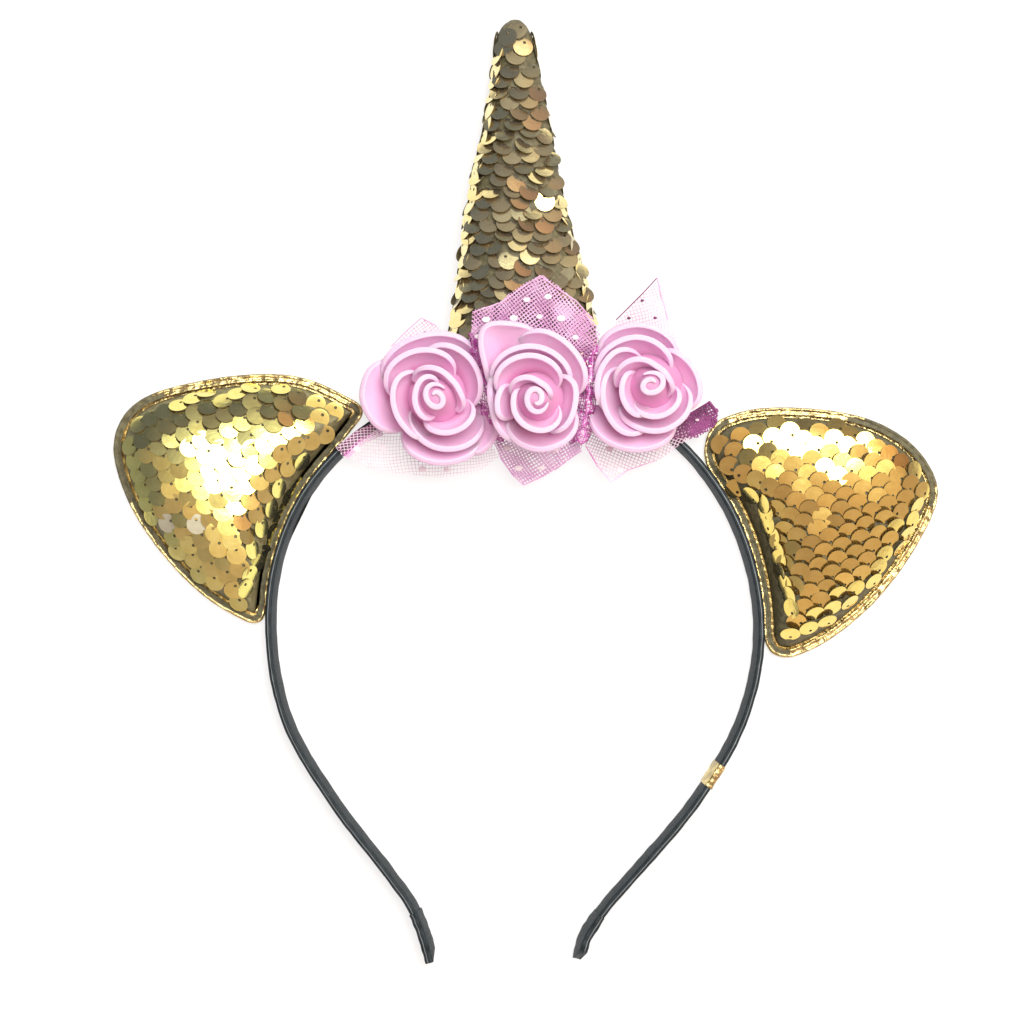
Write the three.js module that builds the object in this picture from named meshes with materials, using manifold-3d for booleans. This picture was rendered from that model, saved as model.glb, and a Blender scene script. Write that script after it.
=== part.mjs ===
// Cat ears headband: a ribbon-wrapped band with two padded sequin ears, a stuffed sequin horn,
// three foam roses and leaves of net. It lies on its back. Millimetres, +Z up.
// +X is to the right of the front view, +Y runs from the band's tips to the horn's tip, and the
// front of the headband faces +Z.
import * as THREE from 'three';
import { mergeVertices } from 'three/addons/utils/BufferGeometryUtils.js';
import Module from 'manifold-3d';

const wasm = await Module();
wasm.setup();

// Clearance between neighbouring pieces
const GAP = 0.3;

// Band: a flat strip bent to an open arch and flared, so that its front edge stands further out.
// `edge` is the bevel of its corners, at most `bevel` of half its thickness.
const BAND = { width: 5.2, thickness: 1.7, edge: 0.5, bevel: 0.7, flare: 13, step: 5.4 };

// Centreline of the band from its left tip over the crown to its right tip
const BAND_ROUTE = [
  { x: -23.6, y: -117.2 },
  { x: -25.2, y: -111.4 },
  { x: -28.2, y: -103.8 },
  { x: -34.4, y: -95.0 },
  { x: -47.8, y: -77.5 },
  { x: -59.4, y: -57.5 },
  { x: -63.5, y: -37.0 },
  { x: -61.8, y: -17.5 },
  { x: -54.2, y: 0.0 },
  { x: -40.0, y: 14.8 },
  { x: -22.0, y: 24.2 },
  { x: -3.0, y: 27.4 },
  { x: 16.0, y: 24.2 },
  { x: 34.0, y: 14.8 },
  { x: 47.4, y: 0.0 },
  { x: 55.3, y: -17.5 },
  { x: 57.8, y: -37.0 },
  { x: 53.4, y: -57.5 },
  { x: 41.8, y: -77.5 },
  { x: 27.1, y: -95.0 },
  { x: 19.4, y: -103.8 },
  { x: 14.5, y: -111.4 },
  { x: 12.9, y: -117.2 },
];
const ROUTE_STEPS = 1000;

// Ribbon ends folded over the band's tips, and the foil wrap on the right leg. The strip is pressed
// in by `neck` under each of them, over a slope `SHOULDER` long. `end` is the length of ribbon
// folded past the strip's end.
const TIP = { length: 13, wall: 0.5, neck: 0.55, end: 0.6, steps: 3 };
const WRAP = { x: 46.7, y: -70.9, length: 6.4, wall: 0.45, neck: 0.55, steps: 2 };
const SHOULDER = 0.2;

// Ears: a flat back panel, a welt round its edge and a padded front inside the welt.
// `tuck` is how far the base's edge lies out from the band's centreline, under its flared front edge.
const EAR = { back: 1.0, pad: 10.0, corner: 4.2, points: 44, welt: 2.6, ease: 0.3, tuck: 1.25 };
const EAR_STEPS = { free: 60, base: 10, fine: 400 };

// Section of the welt: distance in from the ear's edge, and height above the back panel
const WELT_SECTION = [
  { inset: 0.0, up: 0.0 },
  { inset: 0.0, up: 0.8 },
  { inset: 0.7, up: 1.5 },
  { inset: 1.9, up: 1.4 },
  { inset: 2.6, up: 0.7 },
  { inset: 2.6, up: 0.0 },
];

// Rings of the padded front, as shares of the way from its middle to its edge
const PAD_RINGS = [1.0, 0.97, 0.9, 0.77, 0.58, 0.32];

// Profile of the padded front: the higher `fullness` the flatter its top, the lower `edge` the
// steeper its sides.
const PAD_PROFILE = { fullness: 2.4, edge: 0.6 };

// Free edge of each ear from its top corner round the tip to its bottom corner. The base between
// `baseLow` and `baseHigh` follows the band.
const EARS = [
  {
    name: 'ear_left',
    baseLow: { x: -63.5, y: -32.0 },
    baseHigh: { x: -46.0, y: 7.6 },
    edge: [
      { x: -39.2, y: 20.4 },
      { x: -57.0, y: 28.4 },
      { x: -81.5, y: 27.2 },
      { x: -98.2, y: 21.4 },
      { x: -103.2, y: 12.4 },
      { x: -99.6, y: -2.5 },
      { x: -90.6, y: -16.4 },
      { x: -79.2, y: -27.6 },
      { x: -66.6, y: -34.6 },
    ],
  },
  {
    name: 'ear_right',
    baseLow: { x: 59.4, y: -39.0 },
    baseHigh: { x: 44.0, y: 7.4 },
    edge: [
      { x: 45.6, y: 16.6 },
      { x: 55.0, y: 20.0 },
      { x: 70.0, y: 20.4 },
      { x: 86.4, y: 17.4 },
      { x: 97.6, y: 10.2 },
      { x: 103.0, y: -0.4 },
      { x: 99.7, y: -9.6 },
      { x: 93.3, y: -20.2 },
      { x: 84.9, y: -30.0 },
      { x: 73.4, y: -38.8 },
      { x: 63.6, y: -42.8 },
    ],
  },
];

// Horn: oval sections from its base on the band's crown to its tip, lying on a flattened back.
// `bow` is how much of the crown's curve the section follows.
const HORN = { points: 20, flat: 0.08, crownRadius: 60 };
const HORN_SECTIONS = [
  { y: 29.6, middle: -2.2, half: 13.6, depth: 7.0, bow: 1.0 },
  { y: 32.0, middle: -1.4, half: 17.4, depth: 11.6, bow: 0.7 },
  { y: 35.4, middle: -1.0, half: 18.4, depth: 14.8, bow: 0.4 },
  { y: 39.6, middle: -0.8, half: 17.9, depth: 16.4, bow: 0.1 },
  { y: 46.0, middle: -0.9, half: 16.7, depth: 17.0, bow: 0.0 },
  { y: 57.0, middle: -1.6, half: 14.6, depth: 16.0, bow: 0.0 },
  { y: 68.0, middle: -2.5, half: 12.5, depth: 14.6, bow: 0.0 },
  { y: 82.0, middle: -2.5, half: 9.8, depth: 12.2, bow: 0.0 },
  { y: 95.5, middle: -2.3, half: 7.2, depth: 9.8, bow: 0.0 },
  { y: 107.0, middle: -2.8, half: 5.2, depth: 7.8, bow: 0.0 },
  { y: 112.5, middle: -3.0, half: 4.3, depth: 6.6, bow: 0.0 },
  { y: 115.4, middle: -3.0, half: 3.0, depth: 5.2, bow: 0.0 },
  { y: 116.9, middle: -2.8, half: 1.4, depth: 3.4, bow: 0.0 },
];

// Roses: a rolled bud in three nested layers of foam petals. `seat` is the height of the rose's
// back, and `leanX`, `leanY` are how far its top leans to the side.
const FOAM = 1.6;
const ROSES = [
  { name: 'rose_left', x: -24.1, y: 23.3, seat: 7.4, leanX: 1.4, leanY: 0.0 },
  { name: 'rose_middle', x: 2.1, y: 25.0, seat: 13.4, leanX: 0.4, leanY: -1.6 },
  { name: 'rose_right', x: 29.6, y: 25.6, seat: 7.4, leanX: 1.8, leanY: 0.4 },
];
const ROSE_HEIGHT = 17.4;

// Layers of a rose: height of its floor over the seat, radius of the floor, height of the petals' lips
// over the seat, and how much one side of a petal stands out over the next.
const LAYERS = [
  { name: 'outer', floor: 0.0, root: 7.0, lip: 10.0, swirl: 0.5 },
  { name: 'middle', floor: FOAM + GAP, root: 5.2, lip: 13.4, swirl: 0.4 },
  { name: 'inner', floor: 2 * (FOAM + GAP), root: 3.6, lip: 15.6, swirl: 0.3 },
];

// Petals: direction and width in degrees as seen from the front, and reach of the lip from the axis
const PETALS = [
  { rose: 'rose_left', layer: 'outer', angle: 181, span: 88, reach: 17.4 },
  { rose: 'rose_left', layer: 'outer', angle: 104, span: 96, reach: 16.2 },
  { rose: 'rose_left', layer: 'outer', angle: 36, span: 76, reach: 14.2 },
  { rose: 'rose_left', layer: 'outer', angle: 334, span: 58, reach: 16.0 },
  { rose: 'rose_left', layer: 'outer', angle: 270, span: 90, reach: 16.4 },
  { rose: 'rose_left', layer: 'middle', angle: 50, span: 96, reach: 12.4 },
  { rose: 'rose_left', layer: 'middle', angle: 138, span: 100, reach: 11.4 },
  { rose: 'rose_left', layer: 'middle', angle: 224, span: 100, reach: 11.6 },
  { rose: 'rose_left', layer: 'middle', angle: 314, span: 100, reach: 11.8 },
  { rose: 'rose_left', layer: 'inner', angle: 84, span: 134, reach: 7.6 },
  { rose: 'rose_left', layer: 'inner', angle: 204, span: 134, reach: 7.4 },
  { rose: 'rose_left', layer: 'inner', angle: 322, span: 134, reach: 7.6 },
  { rose: 'rose_middle', layer: 'outer', angle: 122, span: 82, reach: 17.0 },
  { rose: 'rose_middle', layer: 'outer', angle: 54, span: 86, reach: 15.6 },
  { rose: 'rose_middle', layer: 'outer', angle: 344, span: 80, reach: 13.4 },
  { rose: 'rose_middle', layer: 'outer', angle: 272, span: 92, reach: 15.6 },
  { rose: 'rose_middle', layer: 'outer', angle: 194, span: 86, reach: 13.0 },
  { rose: 'rose_middle', layer: 'middle', angle: 98, span: 100, reach: 11.6 },
  { rose: 'rose_middle', layer: 'middle', angle: 8, span: 100, reach: 11.0 },
  { rose: 'rose_middle', layer: 'middle', angle: 278, span: 100, reach: 11.2 },
  { rose: 'rose_middle', layer: 'middle', angle: 188, span: 100, reach: 10.8 },
  { rose: 'rose_middle', layer: 'inner', angle: 92, span: 140, reach: 7.4 },
  { rose: 'rose_middle', layer: 'inner', angle: 216, span: 130, reach: 7.2 },
  { rose: 'rose_middle', layer: 'inner', angle: 334, span: 130, reach: 7.4 },
  { rose: 'rose_right', layer: 'outer', angle: 102, span: 96, reach: 16.4 },
  { rose: 'rose_right', layer: 'outer', angle: 26, span: 82, reach: 13.6 },
  { rose: 'rose_right', layer: 'outer', angle: 346, span: 62, reach: 14.6 },
  { rose: 'rose_right', layer: 'outer', angle: 258, span: 100, reach: 15.6 },
  { rose: 'rose_right', layer: 'outer', angle: 176, span: 90, reach: 13.2 },
  { rose: 'rose_right', layer: 'middle', angle: 66, span: 100, reach: 11.4 },
  { rose: 'rose_right', layer: 'middle', angle: 150, span: 96, reach: 11.6 },
  { rose: 'rose_right', layer: 'middle', angle: 232, span: 96, reach: 11.8 },
  { rose: 'rose_right', layer: 'middle', angle: 320, span: 106, reach: 11.2 },
  { rose: 'rose_right', layer: 'inner', angle: 100, span: 134, reach: 7.4 },
  { rose: 'rose_right', layer: 'inner', angle: 222, span: 134, reach: 7.6 },
  { rose: 'rose_right', layer: 'inner', angle: 342, span: 134, reach: 7.4 },
];

// Form of every petal: `foot` is its width at the root as a share of that at the lip, `point` how far
// its middle reaches past its corners, `flare` how late it rises, and `droop` the share by which its
// corners hang lower.
const PETAL = { foot: 0.8, point: 0.9, flare: 1.15, droop: 0.14, across: 4, along: 3 };
const FLOOR_SIDES = 16;

// Bud: a strip of foam rolled up, narrower at its foot
const BUD = { turns: 1.75, core: 0.8, pitch: 1.7, wall: 1.35, foot: 0.42, crown: 0.22, perTurn: 12 };

// Post of foam that carries the middle rose in front of the horn's base
const STEM = { x: 2.1, y: 26.0, radius: 2.8, sides: 12 };

// Net leaves: corners of each gathered piece, from the edge tucked under the roses (a to b) to the
// free edge (c above b, d above a). `bow` is the arch of the tucked edge, `fold` the height of the
// crease in the middle, `pleat` that of the ripples, and the higher `taper` the later it narrows.
// Each leaf stays low at first and lifts towards its free edge.
const NET_WALL = 1.0;
const NET = [
  {
    name: 'net_top_middle', bow: 1.6, fold: 0.4, pleat: 0.0, taper: 1.3,
    a: [-14.0, 40.0, 17.2], b: [18.0, 38.6, 17.0], c: [4.4, 52.6, 18.1], d: [2.4, 52.6, 18.1],
  },
  {
    name: 'net_top_right', bow: 0.0, fold: 0.0, pleat: 0.0, taper: 4.5,
    a: [19.6, 20.2, 6.4], b: [33.4, 20.2, 6.4], c: [33.6, 52.0, 11.0], d: [31.6, 52.0, 11.0],
  },
  {
    name: 'net_top_left', bow: 0.0, fold: 0.0, pleat: 0.0, taper: 4.5,
    a: [-37.0, 22.0, 6.4], b: [-20.8, 22.0, 6.4], c: [-25.0, 43.2, 10.6], d: [-27.0, 43.2, 10.6],
  },
  {
    name: 'net_low_left', bow: 0.0, fold: 0.0, pleat: 0.4, taper: 1.0,
    a: [-38.0, 18.4, 6.5], b: [-13.4, 19.4, 6.5], c: [-13.0, 3.2, 7.4], d: [-46.4, 8.6, 6.9],
  },
  {
    name: 'net_low_middle', bow: 0.0, fold: 1.0, pleat: 0.3, taper: 2.6,
    a: [-11.4, 22.9, 6.5], b: [12.8, 22.7, 6.5], c: [0.6, 1.2, 8.4], d: [-1.4, 1.2, 8.4],
  },
  {
    name: 'net_low_right', bow: 0.0, fold: 1.0, pleat: 0.4, taper: 2.6,
    a: [14.8, 18.6, 6.5], b: [40.0, 14.0, 6.5], c: [22.6, 2.0, 7.8], d: [20.4, 2.0, 7.8],
  },
  {
    name: 'net_right', bow: 0.0, fold: 0.0, pleat: 0.2, taper: 1.0,
    a: [35.6, 18.6, 6.5], b: [35.4, 25.0, 6.5], c: [47.2, 21.2, 8.2], d: [45.8, 13.8, 7.4],
  },
];
const NET_FORM = { across: 6, along: 4, ripples: 3, rise: 3 };

const SATIN = { color: 0x17171a, roughness: 0.45, metalness: 0.0 };
const SEQUIN = { color: 0xc8963a, roughness: 0.18, metalness: 1.0 };
const FOIL = { color: 0xd2ab4e, roughness: 0.3, metalness: 0.9 };
const ROSE_FOAM = { color: 0xee9fd8, roughness: 0.75, metalness: 0.0 };
const NET_CLOTH = { color: 0xd684cf, roughness: 0.8, metalness: 0.0 };

const headband = new THREE.Group();

function addPiece(name, geometry, finish) {
  const mesh = new THREE.Mesh(geometry, new THREE.MeshStandardMaterial(finish));
  mesh.name = name;
  headband.add(mesh);
}

function spread(from, to, count) {
  return Array.from({ length: count + 1 }, (_, i) => from + ((to - from) * i) / count);
}

// Geometry from points and triangles, turned so that its faces point out
function closedGeometry(points, triangles) {
  let volume = 0;
  for (const [a, b, c] of triangles) {
    volume += points[a].dot(points[b].clone().cross(points[c]));
  }
  const outward = volume < 0 ? triangles.map(([a, b, c]) => [a, c, b]) : triangles;
  const geometry = new THREE.BufferGeometry();
  const places = points.flatMap((p) => p.toArray());
  geometry.setAttribute('position', new THREE.Float32BufferAttribute(places, 3));
  geometry.setIndex(outward.flat());
  return geometry;
}

// Skin through rings of equally many points: capped at both ends, or joined end to end as a loop
function loft(rings, loop = false) {
  const count = rings[0].length;
  const points = rings.flat();
  const triangles = [];
  const spans = loop ? rings.length : rings.length - 1;
  for (let i = 0; i < spans; i += 1) {
    const here = i * count;
    const next = ((i + 1) % rings.length) * count;
    for (let j = 0; j < count; j += 1) {
      const k = (j + 1) % count;
      triangles.push([here + j, here + k, next + k], [here + j, next + k, next + j]);
    }
  }
  if (!loop) {
    capRing(points, triangles, 0, rings[0], false);
    capRing(points, triangles, (rings.length - 1) * count, rings.at(-1), true);
  }
  return closedGeometry(points, triangles);
}

function capRing(points, triangles, first, ring, atEnd) {
  const middle = new THREE.Vector3();
  ring.forEach((p) => middle.addScaledVector(p, 1 / ring.length));
  const centre = points.push(middle) - 1;
  for (let j = 0; j < ring.length; j += 1) {
    const a = first + j;
    const b = first + ((j + 1) % ring.length);
    triangles.push(atEnd ? [a, b, centre] : [b, a, centre]);
  }
}

// Wall of even thickness over a surface given as a function of u from -1 to 1 and v from 0 to 1
function wall(surface, across, along, thickness) {
  const step = 1e-3;
  const front = [];
  const back = [];
  for (const v of spread(0, 1, along)) {
    for (const u of spread(-1, 1, across)) {
      const p = surface(u, v);
      const du = surface(u + step, v).sub(surface(u - step, v));
      const dv = surface(u, Math.min(1, v + step)).sub(surface(u, Math.max(0, v - step)));
      const normal = du.cross(dv).normalize();
      front.push(p.clone().addScaledVector(normal, thickness / 2));
      back.push(p.clone().addScaledVector(normal, -thickness / 2));
    }
  }
  const row = across + 1;
  const far = front.length;
  const triangles = [];
  for (let j = 0; j < along; j += 1) {
    for (let i = 0; i < across; i += 1) {
      const a = j * row + i;
      const [b, c, d] = [a + 1, a + row + 1, a + row];
      triangles.push([a, b, c], [a, c, d], [far + a, far + c, far + b], [far + a, far + d, far + c]);
    }
  }
  const border = [];
  for (let i = 0; i < across; i += 1) border.push(i);
  for (let j = 0; j < along; j += 1) border.push(j * row + across);
  for (let i = across; i > 0; i -= 1) border.push(along * row + i);
  for (let j = along; j > 0; j -= 1) border.push(j * row);
  border.forEach((a, i) => {
    const b = border[(i + 1) % border.length];
    triangles.push([b, a, far + a], [b, far + a, far + b]);
  });
  return closedGeometry([...front, ...back], triangles);
}

function solidOf(geometry) {
  const bare = geometry.clone();
  bare.deleteAttribute('normal');
  bare.deleteAttribute('uv');
  const merged = mergeVertices(bare, 1e-4);
  return new wasm.Manifold(new wasm.Mesh({
    numProp: 3,
    vertProperties: new Float32Array(merged.attributes.position.array),
    triVerts: new Uint32Array(merged.index.array),
  }));
}

function geometryOf(solid) {
  const mesh = solid.getMesh();
  const geometry = new THREE.BufferGeometry();
  geometry.setAttribute('position', new THREE.BufferAttribute(mesh.vertProperties, 3));
  geometry.setIndex(new THREE.BufferAttribute(mesh.triVerts, 1));
  return geometry;
}

// Band

const route = new THREE.CatmullRomCurve3(
  BAND_ROUTE.map(({ x, y }) => new THREE.Vector3(x, y, 0)), false, 'centripetal',
);
route.arcLengthDivisions = ROUTE_STEPS;
const bandLength = route.getLength();
const flare = THREE.MathUtils.degToRad(BAND.flare);

// Strip's section as distance outward and height, grown on all sides by `grow`
function stripSection(grow) {
  const halfWidth = BAND.width / 2 + grow;
  const halfThick = BAND.thickness / 2 + grow;
  const edge = Math.min(BAND.edge, BAND.bevel * halfThick);
  const corners = [
    [-halfThick, -halfWidth + edge], [-halfThick + edge, -halfWidth],
    [halfThick - edge, -halfWidth], [halfThick, -halfWidth + edge],
    [halfThick, halfWidth - edge], [halfThick - edge, halfWidth],
    [-halfThick + edge, halfWidth], [-halfThick, halfWidth - edge],
  ];
  return corners.map(([thick, wide]) => ({
    out: thick * Math.cos(flare) + wide * Math.sin(flare),
    up: wide * Math.cos(flare) - thick * Math.sin(flare),
  }));
}

// The folded ribbon at the tips is the lowest part of the band and rests on the surface.
const tipGrow = GAP + TIP.wall - TIP.neck;
const bandLift = -Math.min(...stripSection(tipGrow).map(({ up }) => up));
const bandFront = bandLift + Math.max(...stripSection(0).map(({ up }) => up));

function bandPoint(share, out, up) {
  const p = route.getPointAt(share);
  const t = route.getTangentAt(share);
  return new THREE.Vector3(p.x - t.y * out, p.y + t.x * out, up);
}

function stripRing(distance, grow) {
  const share = THREE.MathUtils.clamp(distance / bandLength, 0, 1);
  return stripSection(grow).map(({ out, up }) => bandPoint(share, out, up + bandLift));
}

function nearestOnBand({ x, y }) {
  const shares = spread(0, 1, ROUTE_STEPS);
  const target = new THREE.Vector3(x, y, 0);
  const offsets = shares.map((share) => route.getPointAt(share).distanceTo(target));
  return shares[offsets.indexOf(Math.min(...offsets))];
}

const wrapMiddle = nearestOnBand(WRAP) * bandLength;
const NECKS = [
  { from: TIP.end + GAP, to: TIP.length, neck: TIP.neck },
  { from: wrapMiddle - WRAP.length / 2, to: wrapMiddle + WRAP.length / 2, neck: WRAP.neck },
  { from: bandLength - TIP.length, to: bandLength - TIP.end - GAP, neck: TIP.neck },
];

function buildBand() {
  const stations = [];
  let from = NECKS[0].from;
  NECKS.forEach(({ to, neck }, i) => {
    const steps = Math.ceil((to - from) / BAND.step);
    spread(from, to, steps).forEach((at) => stations.push({ at, grow: -neck }));
    if (i + 1 < NECKS.length) {
      const plainFrom = to + SHOULDER;
      const plainTo = NECKS[i + 1].from - SHOULDER;
      const plainSteps = Math.ceil((plainTo - plainFrom) / BAND.step);
      spread(plainFrom, plainTo, plainSteps).forEach((at) => stations.push({ at, grow: 0 }));
      from = NECKS[i + 1].from;
    }
  });
  addPiece('band', loft(stations.map(({ at, grow }) => stripRing(at, grow))), SATIN);
}

// Cap of folded ribbon, closed at the band's end and open at its mouth
function buildTip(name, fromLeft) {
  const along = (distance) => (fromLeft ? distance : bandLength - distance);
  const mouth = TIP.length - SHOULDER;
  const inner = spread(TIP.end, mouth, TIP.steps);
  const outer = spread(0, mouth, TIP.steps).reverse();
  const rings = [
    ...inner.map((at) => stripRing(along(at), GAP - TIP.neck)),
    ...outer.map((at) => stripRing(along(at), tipGrow)),
  ];
  addPiece(name, loft(rings), SATIN);
}

function buildWrap() {
  const ends = [wrapMiddle - WRAP.length / 2 + SHOULDER, wrapMiddle + WRAP.length / 2 - SHOULDER];
  const stops = spread(ends[0], ends[1], WRAP.steps);
  const inner = stops.map((at) => stripRing(at, GAP - WRAP.neck));
  const outer = stops.map((at) => stripRing(at, GAP - WRAP.neck + WRAP.wall)).reverse();
  addPiece('foil_wrap', loft([...inner, ...outer], true), FOIL);
}

// Ears

// Evenly spaced points on a closed line, with its corners rounded off over `corner` to each side
function roundedLoop(points, corner, count) {
  const { fine } = EAR_STEPS;
  const line = new THREE.CurvePath();
  points.forEach((p, i) => line.add(new THREE.LineCurve3(p, points[(i + 1) % points.length])));
  const dense = line.getSpacedPoints(fine).slice(0, fine);
  const reach = Math.round((corner * fine) / line.getLength());
  const soft = dense.map((_, i) => {
    const mean = new THREE.Vector3();
    for (let k = -reach; k <= reach; k += 1) {
      mean.addScaledVector(dense[(i + k + fine) % fine], 1 / (2 * reach + 1));
    }
    return mean;
  });
  return spread(0, fine, count).slice(0, count).map((at) => soft[Math.round(at) % fine]);
}

function earLoop({ edge, baseLow, baseHigh }) {
  const free = new THREE.CatmullRomCurve3(edge.map(({ x, y }) => new THREE.Vector3(x, y, 0)));
  const base = spread(nearestOnBand(baseLow), nearestOnBand(baseHigh), EAR_STEPS.base)
    .map((share) => bandPoint(share, EAR.tuck, 0));
  const points = [...free.getSpacedPoints(EAR_STEPS.free), ...base];
  const loop = roundedLoop(points, EAR.corner, EAR.points);
  return THREE.ShapeUtils.isClockWise(loop) ? loop.reverse() : loop;
}

// Line `inset` inside a loop that runs anticlockwise, at height z
function insetLoop(loop, inset, z) {
  return loop.map((p, i) => {
    const before = loop[(i - 1 + loop.length) % loop.length];
    const after = loop[(i + 1) % loop.length];
    const t = after.clone().sub(before).normalize();
    return new THREE.Vector3(p.x - t.y * inset, p.y + t.x * inset, z);
  });
}

function padHeight(share) {
  return (1 - share ** PAD_PROFILE.fullness) ** PAD_PROFILE.edge;
}

function buildEar(ear) {
  const loop = earLoop(ear);
  const outline = new THREE.Shape(loop.map(({ x, y }) => new THREE.Vector2(x, y)));
  const panel = new THREE.ExtrudeGeometry(outline, { depth: EAR.back, bevelEnabled: false });
  addPiece(`${ear.name}_back`, panel, FOIL);

  const floor = EAR.back + GAP;
  const weltRings = WELT_SECTION.map(({ inset, up }) => insetLoop(loop, inset, floor + up));
  addPiece(`${ear.name}_rim`, loft(weltRings, true), FOIL);

  const rim = insetLoop(loop, EAR.welt + GAP + EAR.ease, floor);
  const middle = new THREE.Vector3();
  rim.forEach((p) => middle.addScaledVector(p, 1 / rim.length));
  const padRings = PAD_RINGS.map((share) => rim.map((p) => {
    const q = middle.clone().lerp(p, share);
    q.z = floor + EAR.pad * padHeight(share);
    return q;
  }));
  addPiece(`${ear.name}_front`, loft(padRings), SEQUIN);
}

// Horn

function hornRing({ y, middle, half, depth, bow }) {
  return spread(0, 2 * Math.PI, HORN.points).slice(0, HORN.points).map((angle) => {
    const x = half * Math.cos(angle);
    const z = depth * ((1 + HORN.flat) * (0.5 + 0.5 * Math.sin(angle)) - HORN.flat);
    const drop = (bow * x ** 2) / (2 * HORN.crownRadius);
    return new THREE.Vector3(middle + x, y - drop, Math.max(0, z));
  });
}

function buildHorn() {
  addPiece('horn', loft(HORN_SECTIONS.map(hornRing)), SEQUIN);
}

// Roses

function petalSurface(layer, petal) {
  const middle = THREE.MathUtils.degToRad(petal.angle);
  const half = THREE.MathUtils.degToRad(petal.span / 2);
  const start = layer.floor + FOAM / 2;
  return (u, v) => {
    const angle = middle + half * u * (PETAL.foot + (1 - PETAL.foot) * v);
    const reach = petal.reach - FOAM / 2 - PETAL.point * u * u;
    const radius = layer.root - FOAM / 2 + (reach - layer.root + FOAM / 2) * v + layer.swirl * u * v;
    const height = start + (layer.lip - start) * v ** PETAL.flare * (1 - PETAL.droop * u * u);
    return new THREE.Vector3(radius * Math.cos(angle), radius * Math.sin(angle), height);
  };
}

// Moves a rose's piece to its place, leaning more the higher it is
function plantRose(geometry, { x, y, seat, leanX, leanY }) {
  const position = geometry.attributes.position;
  for (let i = 0; i < position.count; i += 1) {
    const up = position.getZ(i);
    const lean = up / ROSE_HEIGHT;
    position.setXYZ(
      i, position.getX(i) + x + leanX * lean, position.getY(i) + y + leanY * lean, up + seat,
    );
  }
  return geometry;
}

function roseLayer(rose, layer) {
  const disc = new THREE.CylinderGeometry(layer.root, layer.root, FOAM, FLOOR_SIDES);
  disc.rotateX(Math.PI / 2);
  disc.translate(0, 0, layer.floor + FOAM / 2);
  let solid = solidOf(disc);
  PETALS.filter((petal) => petal.rose === rose.name && petal.layer === layer.name).forEach((petal) => {
    const surface = petalSurface(layer, petal);
    solid = solid.add(solidOf(wall(surface, PETAL.across, PETAL.along, FOAM)));
  });
  return geometryOf(solid);
}

// Rolled strip: a spiral outline drawn up from the inner layer's floor, lower at its outer turns
function budGeometry() {
  const steps = Math.round(BUD.turns * BUD.perTurn);
  const side = (offset) => spread(0, 2 * Math.PI * BUD.turns, steps).map((angle) => {
    const radius = BUD.core + (BUD.pitch * angle) / (2 * Math.PI) + offset;
    return new THREE.Vector2(radius * Math.cos(angle), radius * Math.sin(angle));
  });
  const outline = new THREE.Shape([...side(BUD.wall / 2), ...side(-BUD.wall / 2).reverse()]);
  const foot = LAYERS.at(-1).floor + FOAM + GAP;
  const geometry = new THREE.ExtrudeGeometry(outline, { depth: 1, bevelEnabled: false });
  const position = geometry.attributes.position;
  for (let i = 0; i < position.count; i += 1) {
    const [x, y, up] = [position.getX(i), position.getY(i), position.getZ(i)];
    const scale = BUD.foot + (1 - BUD.foot) * up;
    const top = ROSE_HEIGHT - BUD.crown * Math.hypot(x, y);
    position.setXYZ(i, x * scale, y * scale, foot + (top - foot) * up);
  }
  return geometry;
}

function buildRose(rose) {
  LAYERS.forEach((layer) => {
    addPiece(`${rose.name}_${layer.name}`, plantRose(roseLayer(rose, layer), rose), ROSE_FOAM);
  });
  addPiece(`${rose.name}_bud`, plantRose(budGeometry(), rose), ROSE_FOAM);
}

function buildStem() {
  const top = ROSES.find((rose) => rose.name === 'rose_middle').seat - GAP;
  const foot = bandFront + GAP;
  const post = new THREE.CylinderGeometry(STEM.radius, STEM.radius, top - foot, STEM.sides);
  post.rotateX(Math.PI / 2);
  post.translate(STEM.x, STEM.y, (top + foot) / 2);
  addPiece('rose_middle_stem', post, ROSE_FOAM);
}

// Net leaves

function buildNet({ name, bow, fold, pleat, taper, a, b, c, d }) {
  const [rootA, rootB, freeB, freeA] = [a, b, c, d].map((corner) => new THREE.Vector3(...corner));
  const rootMiddle = rootA.clone().lerp(rootB, 0.5);
  const freeMiddle = freeA.clone().lerp(freeB, 0.5);
  const rootHalf = rootB.clone().sub(rootMiddle);
  const freeHalf = freeB.clone().sub(freeMiddle);
  const rise = freeMiddle.z - rootMiddle.z;
  const surface = (u, v) => {
    const half = rootHalf.clone().lerp(freeHalf, v ** taper);
    const p = rootMiddle.clone().lerp(freeMiddle, v).addScaledVector(half, u);
    const arch = (bow * (1 - v) + fold * 4 * v * (1 - v)) * (1 - u * u);
    const ripple = pleat * Math.cos(NET_FORM.ripples * Math.PI * u) * v * (1 - v);
    p.z += rise * (v ** NET_FORM.rise - v) + arch + ripple;
    return p;
  };
  addPiece(name, wall(surface, NET_FORM.across, NET_FORM.along, NET_WALL), NET_CLOTH);
}

buildBand();
buildTip('tip_left', true);
buildTip('tip_right', false);
buildWrap();
EARS.forEach(buildEar);
buildHorn();
ROSES.forEach(buildRose);
buildStem();
NET.forEach(buildNet);

export default headband;
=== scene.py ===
# Looks of the cat ears headband: sequins, foam roses, net leaves, satin ribbon and foil, on a pale
# floor, seen from above. Tables are in millimetres and degrees; meshes are made in metres.
import math
import bpy
import numpy as np
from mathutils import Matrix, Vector, noise


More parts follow.
